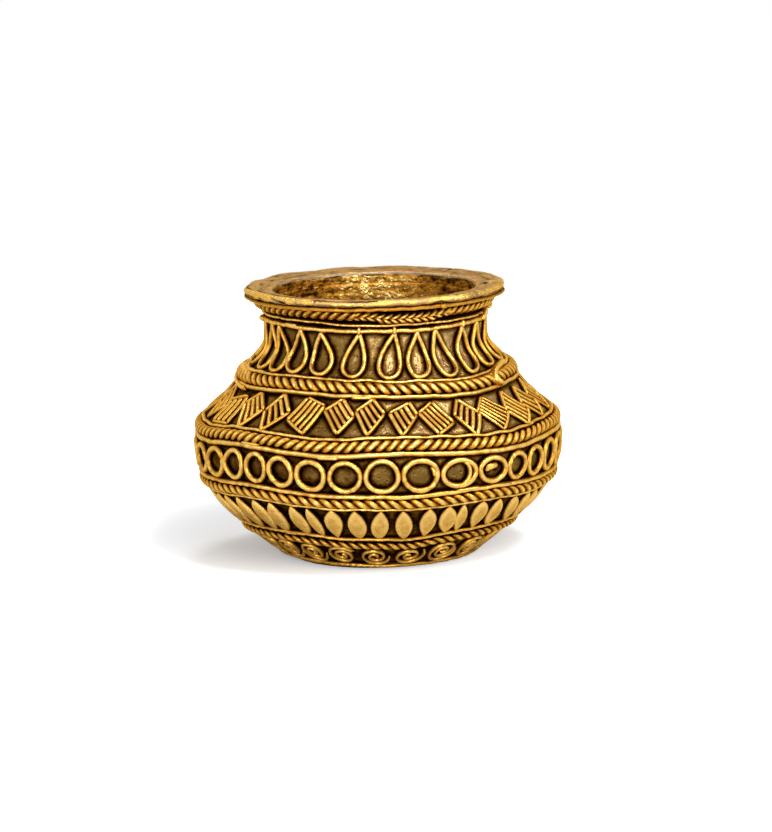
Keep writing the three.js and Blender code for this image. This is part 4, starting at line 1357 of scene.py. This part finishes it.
# %% Floor
FLOOR_SIZE = 1.1
PAPER = (0.80, 0.815, 0.84, 1)
WHITE = (1, 1, 1, 1)
SHADE_MIDDLE = (-0.020, 0.040, 0)  # the shadow lies behind the pot to the left
GLOW_FROM, GLOW_TO = 0.030, 0.120  # metres from there
GLOW_NEAR = 0.20
floor_mesh = bpy.data.meshes.new("floor")
half = FLOOR_SIZE / 2
corners = [(-half, -half, 0), (half, -half, 0), (half, half, 0), (-half, half, 0)]
floor_mesh.from_pydata(corners, [], [(0, 1, 2, 3)])
floor = bpy.data.objects.new("floor", floor_mesh)
bpy.context.scene.collection.objects.link(floor)
floor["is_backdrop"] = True
paper = bpy.data.materials.new("paper")
paper.use_nodes = True
floor_mesh.materials.append(paper)
tree = paper.node_tree
shader = tree.nodes["Principled BSDF"]
shader.inputs["Base Color"].default_value = PAPER
shader.inputs["Roughness"].default_value = 0.9
shader.inputs["Specular IOR Level"].default_value = 0.0
shader.inputs["Emission Color"].default_value = WHITE
rays = tree.nodes.new("ShaderNodeLightPath")
spot = tree.nodes.new("ShaderNodeTexCoord")
far = tree.nodes.new("ShaderNodeVectorMath")
far.operation = "DISTANCE"
far.inputs[1].default_value = SHADE_MIDDLE
tree.links.new(spot.outputs["Object"], far.inputs[0])
glow = spread(tree, far.outputs["Value"], GLOW_FROM, GLOW_TO, GLOW_NEAR, 1.0)
glow = counted(tree, "MULTIPLY", glow, rays.outputs["Is Camera Ray"])
tree.links.new(glow, shader.inputs["Emission Strength"])
print("floor in metres:", FLOOR_SIZE)

# %% World
WORLD_LIGHT = 0.42
world = bpy.data.worlds.new("studio")
bpy.context.scene.world = world
world.use_nodes = True
tree = world.node_tree
tree.nodes.clear()
output = tree.nodes.new("ShaderNodeOutputWorld")
mix = tree.nodes.new("ShaderNodeMixShader")
for number, strength in ((1, WORLD_LIGHT), (2, 1.0)):
    node = tree.nodes.new("ShaderNodeBackground")
    node.inputs["Color"].default_value = WHITE
    node.inputs["Strength"].default_value = strength
    tree.links.new(node.outputs["Background"], mix.inputs[number])
rays = tree.nodes.new("ShaderNodeLightPath")
shown = counted(tree, "MAXIMUM", rays.outputs["Is Camera Ray"], rays.outputs["Is Glossy Ray"])
shown = counted(tree, "MAXIMUM", shown, rays.outputs["Is Transmission Ray"])
tree.links.new(shown, mix.inputs["Fac"])
tree.links.new(mix.outputs["Shader"], output.inputs["Surface"])
print("world light:", WORLD_LIGHT)

# %% Lamps
LAMP_TARGET = Vector((0, 0, 0.04))
LAMPS = [
    # name, place in metres, width in metres, watts
    ("key", (0.27, -0.46, 0.66), 0.24, 4.6),
    ("right", (0.70, -0.38, 0.30), 0.30, 1.6),
    ("front", (-0.10, -0.85, 0.15), 0.32, 3.6),
    ("left", (-0.60, -0.30, 0.34), 0.35, 0.8),
    ("top", (0.00, 0.25, 0.75), 0.25, 1.6),
]
for name, place, size, power in LAMPS:
    lamp = bpy.data.lights.new(name, "AREA")
    lamp.shape = "DISK"
    lamp.size = size
    lamp.energy = power
    holder = bpy.data.objects.new(name, lamp)
    bpy.context.scene.collection.objects.link(holder)
    holder.location = place
    holder.rotation_euler = (LAMP_TARGET - Vector(place)).to_track_quat("-Z", "Y").to_euler()
bpy.context.scene.view_settings.view_transform = "Standard"
print("lamps:", len(LAMPS))

# %% [markdown]
# ## The size
# The fine pot has to fill the same box as the plain solids, so its box is printed here.

# %% Sizes
low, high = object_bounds()
print("visual box in mm:", [round(v / MM, 2) for v in (*low, *high)])
